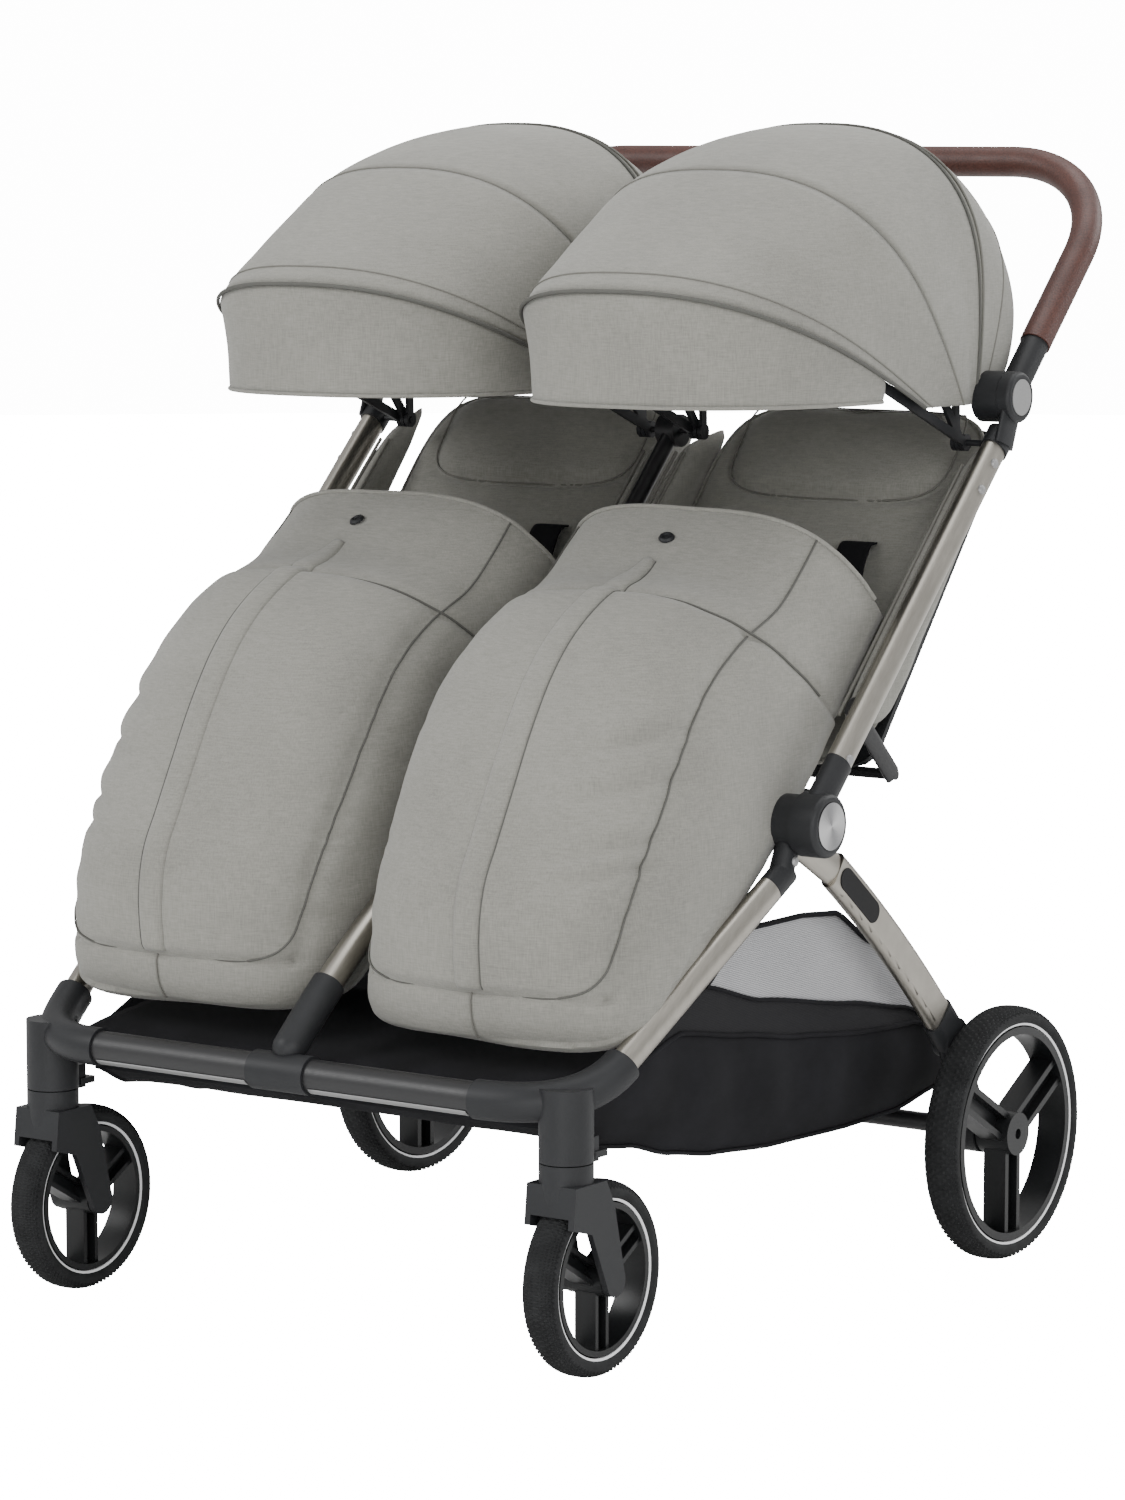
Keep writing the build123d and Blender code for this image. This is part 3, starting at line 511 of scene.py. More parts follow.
def gridShape(across, along, place, shape=None):
    # a grid whose corners run 0 to 1 both ways, each vertex moved to place(u, v)
    shape = shape or bmesh.new()
    made = bmesh.ops.create_grid(shape, x_segments=across, y_segments=along, size=0.5)
    for vertex in made["verts"]:
        vertex.co = place(vertex.co.x + 0.5, vertex.co.y + 0.5)
    return shape


def thicken(piece, depth, offset=-1.0):
    wall = piece.modifiers.new("wall", "SOLIDIFY")
    wall.thickness = depth
    wall.offset = offset
    wall.use_even_offset = False


def bake(piece):
    # fixes the piece's modifiers into its mesh
    graph = bpy.context.evaluated_depsgraph_get()
    mesh = bpy.data.meshes.new_from_object(piece.evaluated_get(graph))
    piece.modifiers.clear()
    piece.data = mesh
    return piece


def cordPiece(name, points, radius, finish, closed=False, resolution=3):
    # a round bead along a smooth line, made a mesh
    data = bpy.data.curves.new(name, "CURVE")
    data.dimensions = "3D"
    data.bevel_depth = radius
    data.bevel_resolution = resolution
    data.use_fill_caps = True
    line = data.splines.new("POLY")
    line.points.add(len(points) - 1)
    for slot, point in zip(line.points, points):
        slot.co = (*point, 1)
    line.use_cyclic_u = closed
    holder = bpy.data.objects.new(name + "Line", data)
    bpy.context.scene.collection.objects.link(holder)
    graph = bpy.context.evaluated_depsgraph_get()
    mesh = bpy.data.meshes.new_from_object(holder.evaluated_get(graph))
    bpy.data.objects.remove(holder)
    smooth(mesh, 60)
    mesh.materials.clear()
    mesh.materials.append(finishes[finish])
    piece = bpy.data.objects.new(name, mesh)
    bpy.context.scene.collection.objects.link(piece)
    return piece


def smoothLine(stations, share):
    # Catmull-Rom value at share, 0 to 1, through evenly spaced stations
    place = min(max(share, 0.0), 1.0) * (len(stations) - 1)
    index = min(int(place), len(stations) - 2)
    t = place - index
    a = stations[max(index - 1, 0)]
    b = stations[index]
    c = stations[index + 1]
    d = stations[min(index + 2, len(stations) - 1)]
    both = []
    for p, q, r, s in zip(a, b, c, d):
        bend = 2 * q + (r - p) * t
        bend += (2 * p - 5 * q + 4 * r - s) * t * t
        bend += (3 * q - p - 3 * r + s) * t ** 3
        both.append(bend / 2)
    return both


def signedPower(value, power):
    return math.copysign(abs(value) ** power, value)


def facingUp(shape):
    bmesh.ops.recalc_face_normals(shape, faces=shape.faces)
    if sum(face.normal.z - face.normal.y for face in shape.faces) < 0:
        bmesh.ops.reverse_faces(shape, faces=shape.faces)
    return shape


def turnRound(shape, profile, axis, steps):
    # sweeps the profile once about an axis through the origin
    whole = 2 * math.pi
    settings = {"cent": (0, 0, 0), "axis": axis, "angle": whole, "steps": steps, "use_merge": True}
    bmesh.ops.spin(shape, geom=profile, **settings)


def stud(name, place, normal, radius, height, finish, dished=False):
    # round head turned about its own axis
    shape = bmesh.new()
    rim = radius * 0.8
    profile = [(radius, 0.0), (radius, height * 0.35), (rim, height), (rim * 0.7, height * 1.05)]
    profile += [(rim * 0.6, height * 0.55), (0.0, height * 0.5)] if dished else [(0.0, height * 1.25)]
    verts = [shape.verts.new((r, 0, h)) for r, h in profile]
    edges = [shape.edges.new(pair) for pair in zip(verts, verts[1:])]
    turnRound(shape, verts + edges, (0, 0, 1), 24)
    bmesh.ops.remove_doubles(shape, verts=shape.verts, dist=1e-6)
    bmesh.ops.recalc_face_normals(shape, faces=shape.faces)
    if sum(face.normal.z for face in shape.faces) < 0:
        bmesh.ops.reverse_faces(shape, faces=shape.faces)
    turn = Vector((0, 0, 1)).rotation_difference(Vector(normal)).to_matrix().to_4x4()
    bmesh.ops.transform(shape, matrix=Matrix.Translation(place) @ turn, verts=shape.verts)
    return addPiece(name, shape, finish, 35)


def padShape(across, along, place):
    # closed pad from two grids, sewn together at the rim; place(a, b, face) takes a and b from -1 to 1
    shape = bmesh.new()
    for face in (1, -1):
        gridShape(across, along, lambda u, v: place(2 * u - 1, 2 * v - 1, face), shape)
    bmesh.ops.remove_doubles(shape, verts=shape.verts, dist=1e-5)
    bmesh.ops.recalc_face_normals(shape, faces=shape.faces)
    return shape


def squircle(a, b, power):
    rim = max(abs(a), abs(b))
    if rim < 1e-6:
        return 0.0, 0.0, 0.0
    x, y = a / rim, b / rim
    pull = (abs(x) ** power + abs(y) ** power) ** (-1 / power)
    return x * rim * pull, y * rim * pull, rim


# Hoods: three sewn panels over the bows, and a visor

hood = {
    "pivot": (0.1855, 0.7836),  # y and z of the bows' common pivot
    "front": 158.3,             # degrees above the horizon behind, as each bow leans
    "seam": 128.7,
    "crown": 92.0,
    "back": 34.0,
    "shoulder": 0.46,           # share of the reach where the sides start to round over
    "square": 2.5,
    "lowest": 0.0365,           # the side's lower edge lies this far above the pivot
    "hem": 0.829,               # height of the visor's lower edge
    "wall": 0.0024,
    "across": 72,
}
# angle, reach of the crown and half width of the hood at each rib, from the back to the visor's piping
hoodRibs = [
    (34.0, 0.100, 0.146),
    (45.0, 0.160, 0.158),
    (56.0, 0.214, 0.163),
    (68.0, 0.246, 0.166),
    (80.0, 0.275, 0.168),
    (92.0, 0.294, 0.170),
    (104.2, 0.300, 0.170),
    (116.5, 0.310, 0.173),
    (128.7, 0.326, 0.174),
    (138.6, 0.341, 0.171),
    (148.5, 0.366, 0.168),
    (158.3, 0.399, 0.166),
]


def ribAt(angle):
    for low, high in zip(hoodRibs, hoodRibs[1:]):
        if angle <= high[0] or high is hoodRibs[-1]:
            index = hoodRibs.index(low)
            t = (angle - low[0]) / (high[0] - low[0])
            share = (index + t) / (len(hoodRibs) - 1)
            return smoothLine([rib[1:] for rib in hoodRibs], share)


def hoodPoint(side, angle, across, proud=0.0):
    # across runs 0 at the lower edge on one side, over the crown, to 1 on the other
    reach, half = ribAt(angle)
    lean = math.radians(angle)
    foot = hood["lowest"] / max(math.sin(lean), 0.36)
    foot = min(foot, reach * 0.55)
    shoulder = max(reach * hood["shoulder"], foot + 0.004)
    turn = 1 - abs(2 * across - 1)
    straight = 0.3
    if turn < straight:
        out = foot + (shoulder - foot) * turn / straight
        drop = (shoulder - out) / shoulder
        wide = half * (1 - 0.08 * drop * drop)
    else:
        bend = (turn - straight) / (1 - straight) * math.pi / 2
        wide = half * max(math.cos(bend), 0.0) ** (2 / hood["square"])
        out = shoulder + (reach - shoulder) * math.sin(bend) ** (2 / hood["square"])
    if turn < 0.98:
        wide += proud * 0.7
    wide = math.copysign(wide, across - 0.5)
    out += proud
    y = hood["pivot"][0] + out * math.cos(lean)
    z = hood["pivot"][1] + out * math.sin(lean)
    return Vector((side * seatX + wide, y, z))


def hoodAngle(point):
    return math.degrees(math.atan2(point.z - hood["pivot"][1], point.y - hood["pivot"][0]))


def hoodPanel(name, side, low, high, rows):
    # sewn panel between two ribs
    def place(u, v):
        angle = low + (high - low) * v
        return hoodPoint(side, angle, u)

    shape = gridShape(hood["across"], rows, place)
    bmesh.ops.recalc_face_normals(shape, faces=shape.faces)
    if sum((face.normal.z for face in shape.faces)) < 0:
        bmesh.ops.reverse_faces(shape, faces=shape.faces)
    piece = addPiece(name, shape, "cloth", 60)
    thicken(piece, hood["wall"])
    return piece


def fanBlend(piece, parent, child, low, high):
    # the panel swings with both bows: each point shares the turn by its angle about the pivot
    start = hoodPoint(1, low, 0.5)
    end = hoodPoint(1, high, 0.5)
    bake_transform(piece, parent, child, start=start, end=end)
    weights = piece.data.attributes["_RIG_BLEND"].data
    for vertex, weight in zip(piece.data.vertices, weights):
        weight.value = min(max((hoodAngle(vertex.co) - low) / (high - low), 0.0), 1.0)


def visorPiece(name, side):
    first = 0.145

    def place(u, v):
        across = first + (1 - 2 * first) * u
        top = hoodPoint(side, hood["front"], across)
        drop = max(top.z - hood["hem"], 0.001)
        inward = 0.006 * v
        middle = side * seatX
        x = top.x - math.copysign(inward, top.x - middle) * min(abs(top.x - middle) / 0.1, 1)
        y = top.y + inward + 0.003 * math.sin(v * math.pi)
        wave = 0.0012 * noise.noise(Vector((x * 14, y * 14, v * 2.0)))
        return Vector((x, y + wave, top.z - drop * v))

    shape = gridShape(96, 14, place)
    bmesh.ops.recalc_face_normals(shape, faces=shape.faces)
    if sum((face.normal.y for face in shape.faces)) > 0:
        bmesh.ops.reverse_faces(shape, faces=shape.faces)
    piece = addPiece(name, shape, "cloth", 60)
    thicken(piece, hood["wall"])
    return piece, [place(i / 60, 1.0) for i in range(61)]


def buildHood(label, side):
    upper = "upper_frame"
    middle = "hood_middle_" + label
    front = "hood_front_" + label
    tag = "hood_" + label
    rear = hoodPanel(tag + "_rear_panel", side, hood["back"], hood["crown"], 26)
    settle(rear, upper)
    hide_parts("hood_" + label)
    centre = hoodPanel(tag + "_middle_panel", side, hood["crown"], hood["seam"], 18)
    fanBlend(centre, upper, middle, hood["crown"], hood["seam"])
    brow = hoodPanel(tag + "_front_panel", side, hood["seam"], hood["front"], 18)
    fanBlend(brow, middle, front, hood["seam"], hood["front"])
    visor, edge = visorPiece(tag + "_visor", side)
    settle(visor, front)
    count = 90
    # the piping lines are dark as painted shade along these seams
    lines = (
        ("front_piping", hood["front"], 0.0018, 0.0019, "piping", front),
        ("front_stitch", hood["front"] - 3.2, 0.0002, 0.0008, "seam", front),
        ("middle_seam", hood["seam"], 0.0002, 0.0009, "seam", middle),
        ("zip_front", hood["crown"] + 1.2, 0.0010, 0.0014, "piping", upper),
        ("zip_rear", hood["crown"] - 1.6, 0.0010, 0.0012, "seam", upper),
        ("rear_stitch", hood["crown"] - 19.0, 0.0002, 0.0008, "seam", upper),
    )
    for name, angle, proud, radius, finish, body in lines:
        points = [hoodPoint(side, angle, i / count, proud) for i in range(count + 1)]
        settle(cordPiece(tag + "_" + name, points, radius, finish), body)
    settle(cordPiece(tag + "_visor_hem", edge, 0.0019, "cloth"), front)


for label, side in sides.items():
    buildHood(label, side)
print("hoods made")


# Footmuffs: a padded cover with its seams, zip flap and snap

muff = {
    "inner": 0.009,             # distances of the two side edges from the middle of the stroller
    "outer": 0.333,
    "square": 3.1,
    "wall": 0.012,
    "across": 130,
    "along": 180,
    "seamPlace": 0.86,          # share of the half width where the outline seam runs
    "bottomSeam": 0.205,
    "apronSeam": 0.80,
    "zipPlace": 0.04,
    "flap": 0.029,
    "flapTop": 0.875,
    "snapPlace": 0.925,
    "piping": 0.0011,
    "halfWidth": 0.16,          # lengths that turn shares across and along into metres
    "length": 0.7,
    "seamWide": 0.006,
    "seamDeep": 0.004,
    "loft": 0.004,
    "gather": 0.0009,
    "swell": 0.0034,            # slow unevenness of the filling
    "slack": 0.0016,            # finer looseness towards the sides
    "creases": [                # y, z and reach of the folds at the outer seam
        (-0.325, 0.505, 0.05),
        (-0.335, 0.440, 0.06),
        (-0.33, 0.46, 0.045),
        (-0.30, 0.545, 0.05),
    ],
}
# crown y and z, base y and z, half width share: from the toe to the apron's edge
muffRibs = [
    (-0.345, 0.282, -0.335, 0.288, 0.60),
    (-0.372, 0.283, -0.318, 0.290, 0.80),
    (-0.388, 0.302, -0.295, 0.303, 0.91),
    (-0.393, 0.336, -0.268, 0.328, 0.95),
    (-0.396, 0.380, -0.232, 0.362, 0.975),
    (-0.389, 0.421, -0.203, 0.388, 0.985),
    (-0.371, 0.457, -0.175, 0.413, 0.99),
    (-0.348, 0.501, -0.146, 0.440, 1.0),
    (-0.320, 0.550, -0.118, 0.466, 1.0),
    (-0.285, 0.598, -0.090, 0.492, 0.99),
    (-0.247, 0.632, -0.066, 0.514, 0.98),
    (-0.194, 0.660, -0.040, 0.540, 0.975),
    (-0.132, 0.678, -0.014, 0.566, 0.97),
    (-0.086, 0.706, 0.012, 0.594, 0.97),
    (-0.050, 0.729, 0.042, 0.630, 0.97),
]


def muffPoint(side, u, v, deeper=0.0):
    crownY, crownZ, baseY, baseZ, share = smoothLine(muffRibs, v)
    middle = (muff["inner"] + muff["outer"]) / 2
    half = (muff["outer"] - muff["inner"]) / 2 * share
    turn = (2 * u - 1) * math.pi / 2
    wide = half * signedPower(math.sin(turn), 2 / muff["square"])
    deep = max(math.cos(turn), 0.0) ** (2 / muff["square"])
    base = Vector((0, baseY, baseZ))
    crown = Vector((0, crownY, crownZ))
    point = base + (crown - base) * deep
    point.x = middle + wide
    return Vector((side * point.x, point.y, point.z))


def muffAcross(share):
    # the u value at which the front is share of the half width from its middle
    turn = math.asin(min(max(abs(share), 0.0), 1.0) ** (muff["square"] / 2))
    return 0.5 + math.copysign(turn / math.pi, share)


def groove(distance):
    return -muff["seamDeep"] * math.exp(-(distance / muff["seamWide"]) ** 2)


def muffRelief(share, v):
    # height of the cloth over the plain shape: valleys along the seams and a little loft between them
    height = 0.0
    bottom = muff["bottomSeam"]
    top = muff["apronSeam"]
    edge = muff["seamPlace"]
    if bottom < v < top:
        away = (abs(share) - edge) * muff["halfWidth"]
        height += groove(away)
        height += muff["loft"] * math.cos(math.pi / 2 * min(abs(share) / edge, 1))
        gather = muff["gather"] * math.exp(-(away / 0.013) ** 2)
        height += gather * math.sin(v * 150 + 2 * math.sin(v * 31)) * math.sin(v * 23 + 1)
    if abs(share) < edge:
        height += groove((v - bottom) * muff["length"])
    height += groove((v - top) * muff["length"])
    return height


def muffSurface(side, u, v, proud=0.0):
    here = muffPoint(side, u, v)
    step = 0.004
    du = muffPoint(side, min(u + step, 1), v) - muffPoint(side, max(u - step, 0), v)
    dv = muffPoint(side, u, min(v + step, 1)) - muffPoint(side, u, max(v - step, 0))
    normal = du.cross(dv)
    if normal.length < 1e-9:
        return here
    normal.normalize()
    if normal.z - normal.y < 0:
        normal.negate()
    share = signedPower(math.sin((2 * u - 1) * math.pi / 2), 2 / muff["square"])
    height = muffRelief(share, v) + proud
    mirrored = here.x * side
    height += muff["swell"] * noise.noise(Vector((mirrored * 9, here.y * 7, here.z * 7 + 3)))
    slack = muff["slack"] * min(max(abs(share) * 1.6 - 0.4, 0), 1) * min(v * 4, 1)
    height += slack * noise.noise(Vector((mirrored * 26, here.y * 26 + 7, here.z * 42)))
    for creaseY, creaseZ, reach in muff["creases"]:
        if share > 0.35:
            along = (here.z - creaseZ) - 0.25 * (here.y - creaseY)
            fade = math.exp(-((here.y - creaseY) / reach) ** 2 - ((share - 0.72) / 0.26) ** 2)
            height -= 0.0042 * fade * math.exp(-(along / 0.006) ** 2)
            height += 0.0026 * fade * math.exp(-((along - 0.013) / 0.009) ** 2)
    return here + normal * height


def muffLine(side, stations, count, proud):
    # points on the cover through (share of half width, v) stations
    points = []
    for index in range(count + 1):
        share, v = smoothLine(stations, index / count)
        points.append(muffSurface(side, muffAcross(share), min(max(v, 0), 1), proud))
    return points


def levelLine(v):
    return [(share, v) for share in (-0.998, -0.6, 0.0, 0.6, 0.998)]


def muffSeams(label, side):
    tag = "footmuff_" + label
    edge = muff["seamPlace"]
    bottom = muff["bottomSeam"]
    top = muff["apronSeam"]
    middle = muff["zipPlace"]
    wide = muff["piping"]
    outline = [
        (-edge, top),
        (-edge, 0.62),
        (-edge, 0.46),
        (-edge, 0.33),
        (-edge + 0.05, bottom + 0.035),
        (-0.6, bottom),
        (-0.2, bottom),
        (0.2, bottom),
        (0.6, bottom),
        (edge - 0.05, bottom + 0.035),
        (edge, 0.33),
        (edge, 0.46),
        (edge, 0.62),
        (edge, top),
    ]
    outerSide = [(edge, top), (edge - 0.01, 0.9), (edge - 0.03, 0.997)]
    innerSide = [(-share, v) for share, v in outerSide]
    toe = [(middle, 0.05), (middle, 0.12), (middle, bottom)]
    # the piping cords are dark as painted shade along the seams
    lines = (
        ("outline_seam", outline, 220, wide - 0.0001, "piping"),
        ("apron_seam", levelLine(top), 90, wide, "piping"),
        ("apron_side_seam", outerSide, 24, wide - 0.0001, "piping"),
        ("apron_inner_seam", innerSide, 24, wide - 0.0001, "piping"),
        ("toe_seam", toe, 24, wide - 0.0003, "seam"),
        ("top_binding", levelLine(1.0), 90, wide * 2, "cloth"),
    )
    for name, stations, count, radius, finish in lines:
        piece = cordPiece(tag + "_" + name, muffLine(side, stations, count, 0.0010), radius, finish)
        foldFlat(settle(piece, "chassis"))
    half = muff["flap"] / 2

    def flapPlace(a, b):
        v = bottom + 0.004 + (muff["flapTop"] - bottom) * b
        tuck = 0.0 if b < 0.93 else (b - 0.93) / 0.07
        share = middle + (a - 0.5) * 2 * half / 0.162 * (1 - 0.5 * tuck)
        rise = 0.0044 * (1 - abs(2 * a - 1) ** 4) - 0.0004
        return muffSurface(side, muffAcross(share), v, rise)

    flap = addPiece(tag + "_zip_flap", facingUp(gridShape(12, 150, flapPlace)), "cloth", 70)
    thicken(flap, 0.003)
    foldFlat(settle(flap, "chassis"))
    # the zip flap's edge: a dark cord as painted shadow along the flap
    bead = [flapPlace(1.0, i / 140) for i in range(141)]
    foldFlat(settle(cordPiece(tag + "_zip_edge", bead, 0.0009, "piping"), "chassis"))
    snapV = muff["snapPlace"]
    here = muffSurface(side, muffAcross(middle), snapV, 0.001)
    ahead = muffSurface(side, muffAcross(middle), snapV + 0.02) - here
    across = muffSurface(side, muffAcross(middle + 0.05), snapV) - here
    normal = across.cross(ahead).normalized()
    if normal.z < 0:
        normal.negate()
    snap = stud(tag + "_snap", here, normal, 0.0075, 0.003, "plastic", True)
    foldFlat(settle(snap, "chassis"))


def foldFlat(piece):
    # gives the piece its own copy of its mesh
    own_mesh(piece)
    return piece


def buildMuff(label, side):
    def place(u, v):
        return muffSurface(side, u, v)

    shape = facingUp(gridShape(muff["across"], muff["along"], place))
    piece = addPiece("footmuff_" + label + "_cover", shape, "cloth", 70)
    thicken(piece, muff["wall"])
    bake(piece)
    settle(piece, "chassis")
    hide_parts("footmuff_" + label)
    foldFlat(piece)
    muffSeams(label, side)


for label, side in sides.items():
    buildMuff(label, side)
print("footmuffs made")


# Seats: pads, headrests, harness webbing and side wings

seat = {
    "foot": (-0.002, 0.502),    # y and z where the backrest's front meets the seat
    "slope": 50.8,
    "length": 0.400,
    "half": 0.149,
    "thick": 0.024,
    "headLow": 0.289,           # the headrest's lower edge, along the backrest
    "headHalf": 0.122,
    "headTall": 0.062,          # half height of the headrest
    "notch": 0.016,             # depth and half width of the dip in its top edge
    "notchWide": 0.026,
    "headProud": 0.012,
    "square": 6,
    "strapPlace": 0.060,
    "strapWide": 0.034,
    "crotchWide": 0.045,
    "slitPlace": 0.236,         # the harness slits, along the backrest
}
# x, place along the backrest and height over it
shoulderStrap = [
    (0.060, 0.241, -0.003),
    (0.061, 0.232, 0.006),
    (0.066, 0.212, 0.012),
    (0.074, 0.180, 0.016),
    (0.080, 0.140, 0.017),
    (0.074, 0.098, 0.016),
    (0.052, 0.062, 0.015),
    (0.024, 0.044, 0.017),
]
crotchStrap = [(0.0, 0.014, 0.022), (0.0, 0.030, 0.022), (0.0, 0.050, 0.020)]
backUp = Vector((0, math.cos(math.radians(seat["slope"])), math.sin(math.radians(seat["slope"]))))
backOut = Vector((0, -backUp.z, backUp.y))


def backPoint(side, x, along, out):
    point = Vector((side * seatX + x, seat["foot"][0], seat["foot"][1]))
    return point + backUp * along + backOut * out


def headTall(x, upper):
    # half height of the headrest at x: the dip is in its upper edge only
    notch = seat["notch"] * math.exp(-(x / seat["notchWide"]) ** 2) if upper else 0.0
    return seat["headTall"] - notch


def headRelief(x, along):
    middle = seat["headLow"] + seat["headTall"]
    tall = headTall(x, along > middle)
    edge = (abs(x) / seat["headHalf"]) ** 4 + (abs(along - middle) / tall) ** 4
    rise = seat["headProud"] * max(1 - edge, 0) ** 0.5
    return rise - 0.004 * math.exp(-((edge - 1.0) / 0.35) ** 2)


def buildBackPad(label, side):
    half = seat["half"]
    length = seat["length"]

    def place(a, b, face):
        x, y, rim = squircle(a, b, seat["square"])
        along = length * (y + 1) / 2
        puff = max(1 - rim ** 6, 0) ** 0.5
        depth = seat["thick"] / 2 * puff
        out = -seat["thick"] / 2 + (depth if face > 0 else -depth * 0.8)
        if face > 0:
            out += headRelief(x * half, along) * puff
            out += 0.0022 * puff * noise.noise(Vector((x * 3, y * 4 + side, 2.0)))
            for slot in (-1, 1):
                gap = ((x * half - slot * seat["strapPlace"]) / 0.020) ** 4
                gap += ((along - seat["slitPlace"]) / 0.007) ** 2
                out -= 0.006 * math.exp(-gap)
        return backPoint(side, x * half, along, out)

    body = "backrest_" + label
    pad = addPiece("back_pad_" + label, padShape(70, 96, place), "cloth", 70)
    settle(pad, body)
    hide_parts("back_cushion_" + label)
    rim = []
    for index in range(141):
        turn = 2 * math.pi * index / 140
        x = signedPower(math.cos(turn), 1 / 3)
        y = signedPower(math.sin(turn), 1 / 3)
        rim.append(backPoint(side, x * (half + 0.001), length * (y + 1) / 2, -seat["thick"] / 2))
    settle(cordPiece("back_piping_" + label, rim, 0.0024, "cloth"), body)
    middle = seat["headLow"] + seat["headTall"]
    head = []
    for index in range(181):
        turn = 2 * math.pi * index / 180
        x = signedPower(math.cos(turn), 0.5) * seat["headHalf"]
        along = middle + signedPower(math.sin(turn), 0.5) * headTall(x, math.sin(turn) > 0)
        head.append(backPoint(side, x, min(along, length - 0.008), -0.0022))
    settle(cordPiece("headrest_seam_" + label, head, 0.0010, "seam"), body)
    for name, hand in (("outer", side), ("inner", -side)):
        ribbon("harness_" + name + "_" + label, side, hand, shoulderStrap, body)
    ribbon("harness_crotch_" + label, side, 1, crotchStrap, body, seat["crotchWide"])


def ribbon(name, side, hand, stations, body, wide=None):
    # flat webbing along stations of (x, along, out) on a backrest
    wide = wide or seat["strapWide"]

    def place(u, v):
        x, along, out = smoothLine(stations, v)
        return backPoint(side, hand * x + (u - 0.5) * wide, along, out)

    shape = facingUp(gridShape(8, 60, place))
    piece = addPiece(name, shape, "nylon", 60)
    thicken(piece, 0.0018, 1.0)
    settle(piece, body)


def buildSeatPad(label, side):
    low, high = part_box("seat_cushion_" + label)
    middle = (low + high) / 2
    half = (high.x - low.x) / 2
    tilt = math.radians(-4)
    length = (high.y - low.y) / math.cos(tilt) / 2 - 0.002

    def place(a, b, face):
        x, y, rim = squircle(a, b, seat["square"])
        puff = max(1 - rim ** 6, 0) ** 0.5
        out = 0.011 * puff * face
        if face > 0:
            out += 0.003 * puff * math.cos(x * 1.4)
        run = y * length
        rise = run * math.sin(tilt) + out
        return middle + Vector((x * half, run * math.cos(tilt), rise))

    pad = addPiece("seat_pad_" + label, padShape(50, 44, place), "cloth", 70)
    settle(pad, "chassis")
    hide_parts("seat_cushion_" + label)
    foldFlat(pad)


wing = {
    "tubeLow": (-0.052, 0.543),
    "tubeHigh": (0.176, 0.770),
    "backLow": 0.045,
    "backHigh": 0.385,
    "outer": 0.340,
    "inner": 0.019,
    "reach": {"outer": 0.004, "inner": 0.024},      # how far each wing goes behind the backrest's front
    "thick": 0.013,
}


def buildWing(label, side, name, x):
    # side wall of the seat, from the backrest's edge forward to the frame tube, with two rows of piping
    def spot(share, across, out):
        along = wing["backLow"] + (wing["backHigh"] - wing["backLow"]) * share
        back = backPoint(side, 0, along, -wing["reach"][name])
        y = wing["tubeLow"][0] + (wing["tubeHigh"][0] - wing["tubeLow"][0]) * share
        z = wing["tubeLow"][1] + (wing["tubeHigh"][1] - wing["tubeLow"][1]) * share
        return Vector((side * x + out, back.y + (y - back.y) * across, back.z + (z - back.z) * across))

    def place(a, b, face):
        p, q, rim = squircle(a, b, 7)
        puff = max(1 - rim ** 8, 0) ** 0.5
        wave = 0.002 * noise.noise(Vector((p * 3, q * 2, x * 40)))
        return spot((p + 1) / 2, (q + 1) / 2, (wing["thick"] / 2 * face + wave) * puff)

    tag = "seat_wing_" + name + "_" + label
    piece = addPiece(tag, padShape(80, 16, place), "cloth", 70)
    settle(piece, "upper_frame")
    for row, out in (("a", -0.0048), ("b", 0.0048)):
        line = [spot(0.03 + 0.94 * i / 60, 0.985, out) for i in range(61)]
        settle(cordPiece(tag + "_piping_" + row, line, 0.0018, "seam"), "upper_frame")


for label, side in sides.items():
    buildBackPad(label, side)
    buildSeatPad(label, side)
    buildWing(label, side, "outer", wing["outer"])
    buildWing(label, side, "inner", wing["inner"])
print("seats made")


# Tyres: diamond tread and a reflective ring on both faces

tyre = {
    "steps": 400,
    "rows": 44,
    "groove": 0.0017,
    "pitch": 4,                 # grid cells from one groove to the next
    "depth": 0.019,
    "flank": 2.5,               # powers of the section's rounded square
    "crown": 2.3,
    "lip": 158,                 # degrees from the crown to where the section meets the rim
    "treadTurn": 74,            # degrees either side of the tyre's crown that carry tread
    "ringWide": 0.0032,
    "ringPlace": 0.0013,        # from the rim's edge to the ring
}


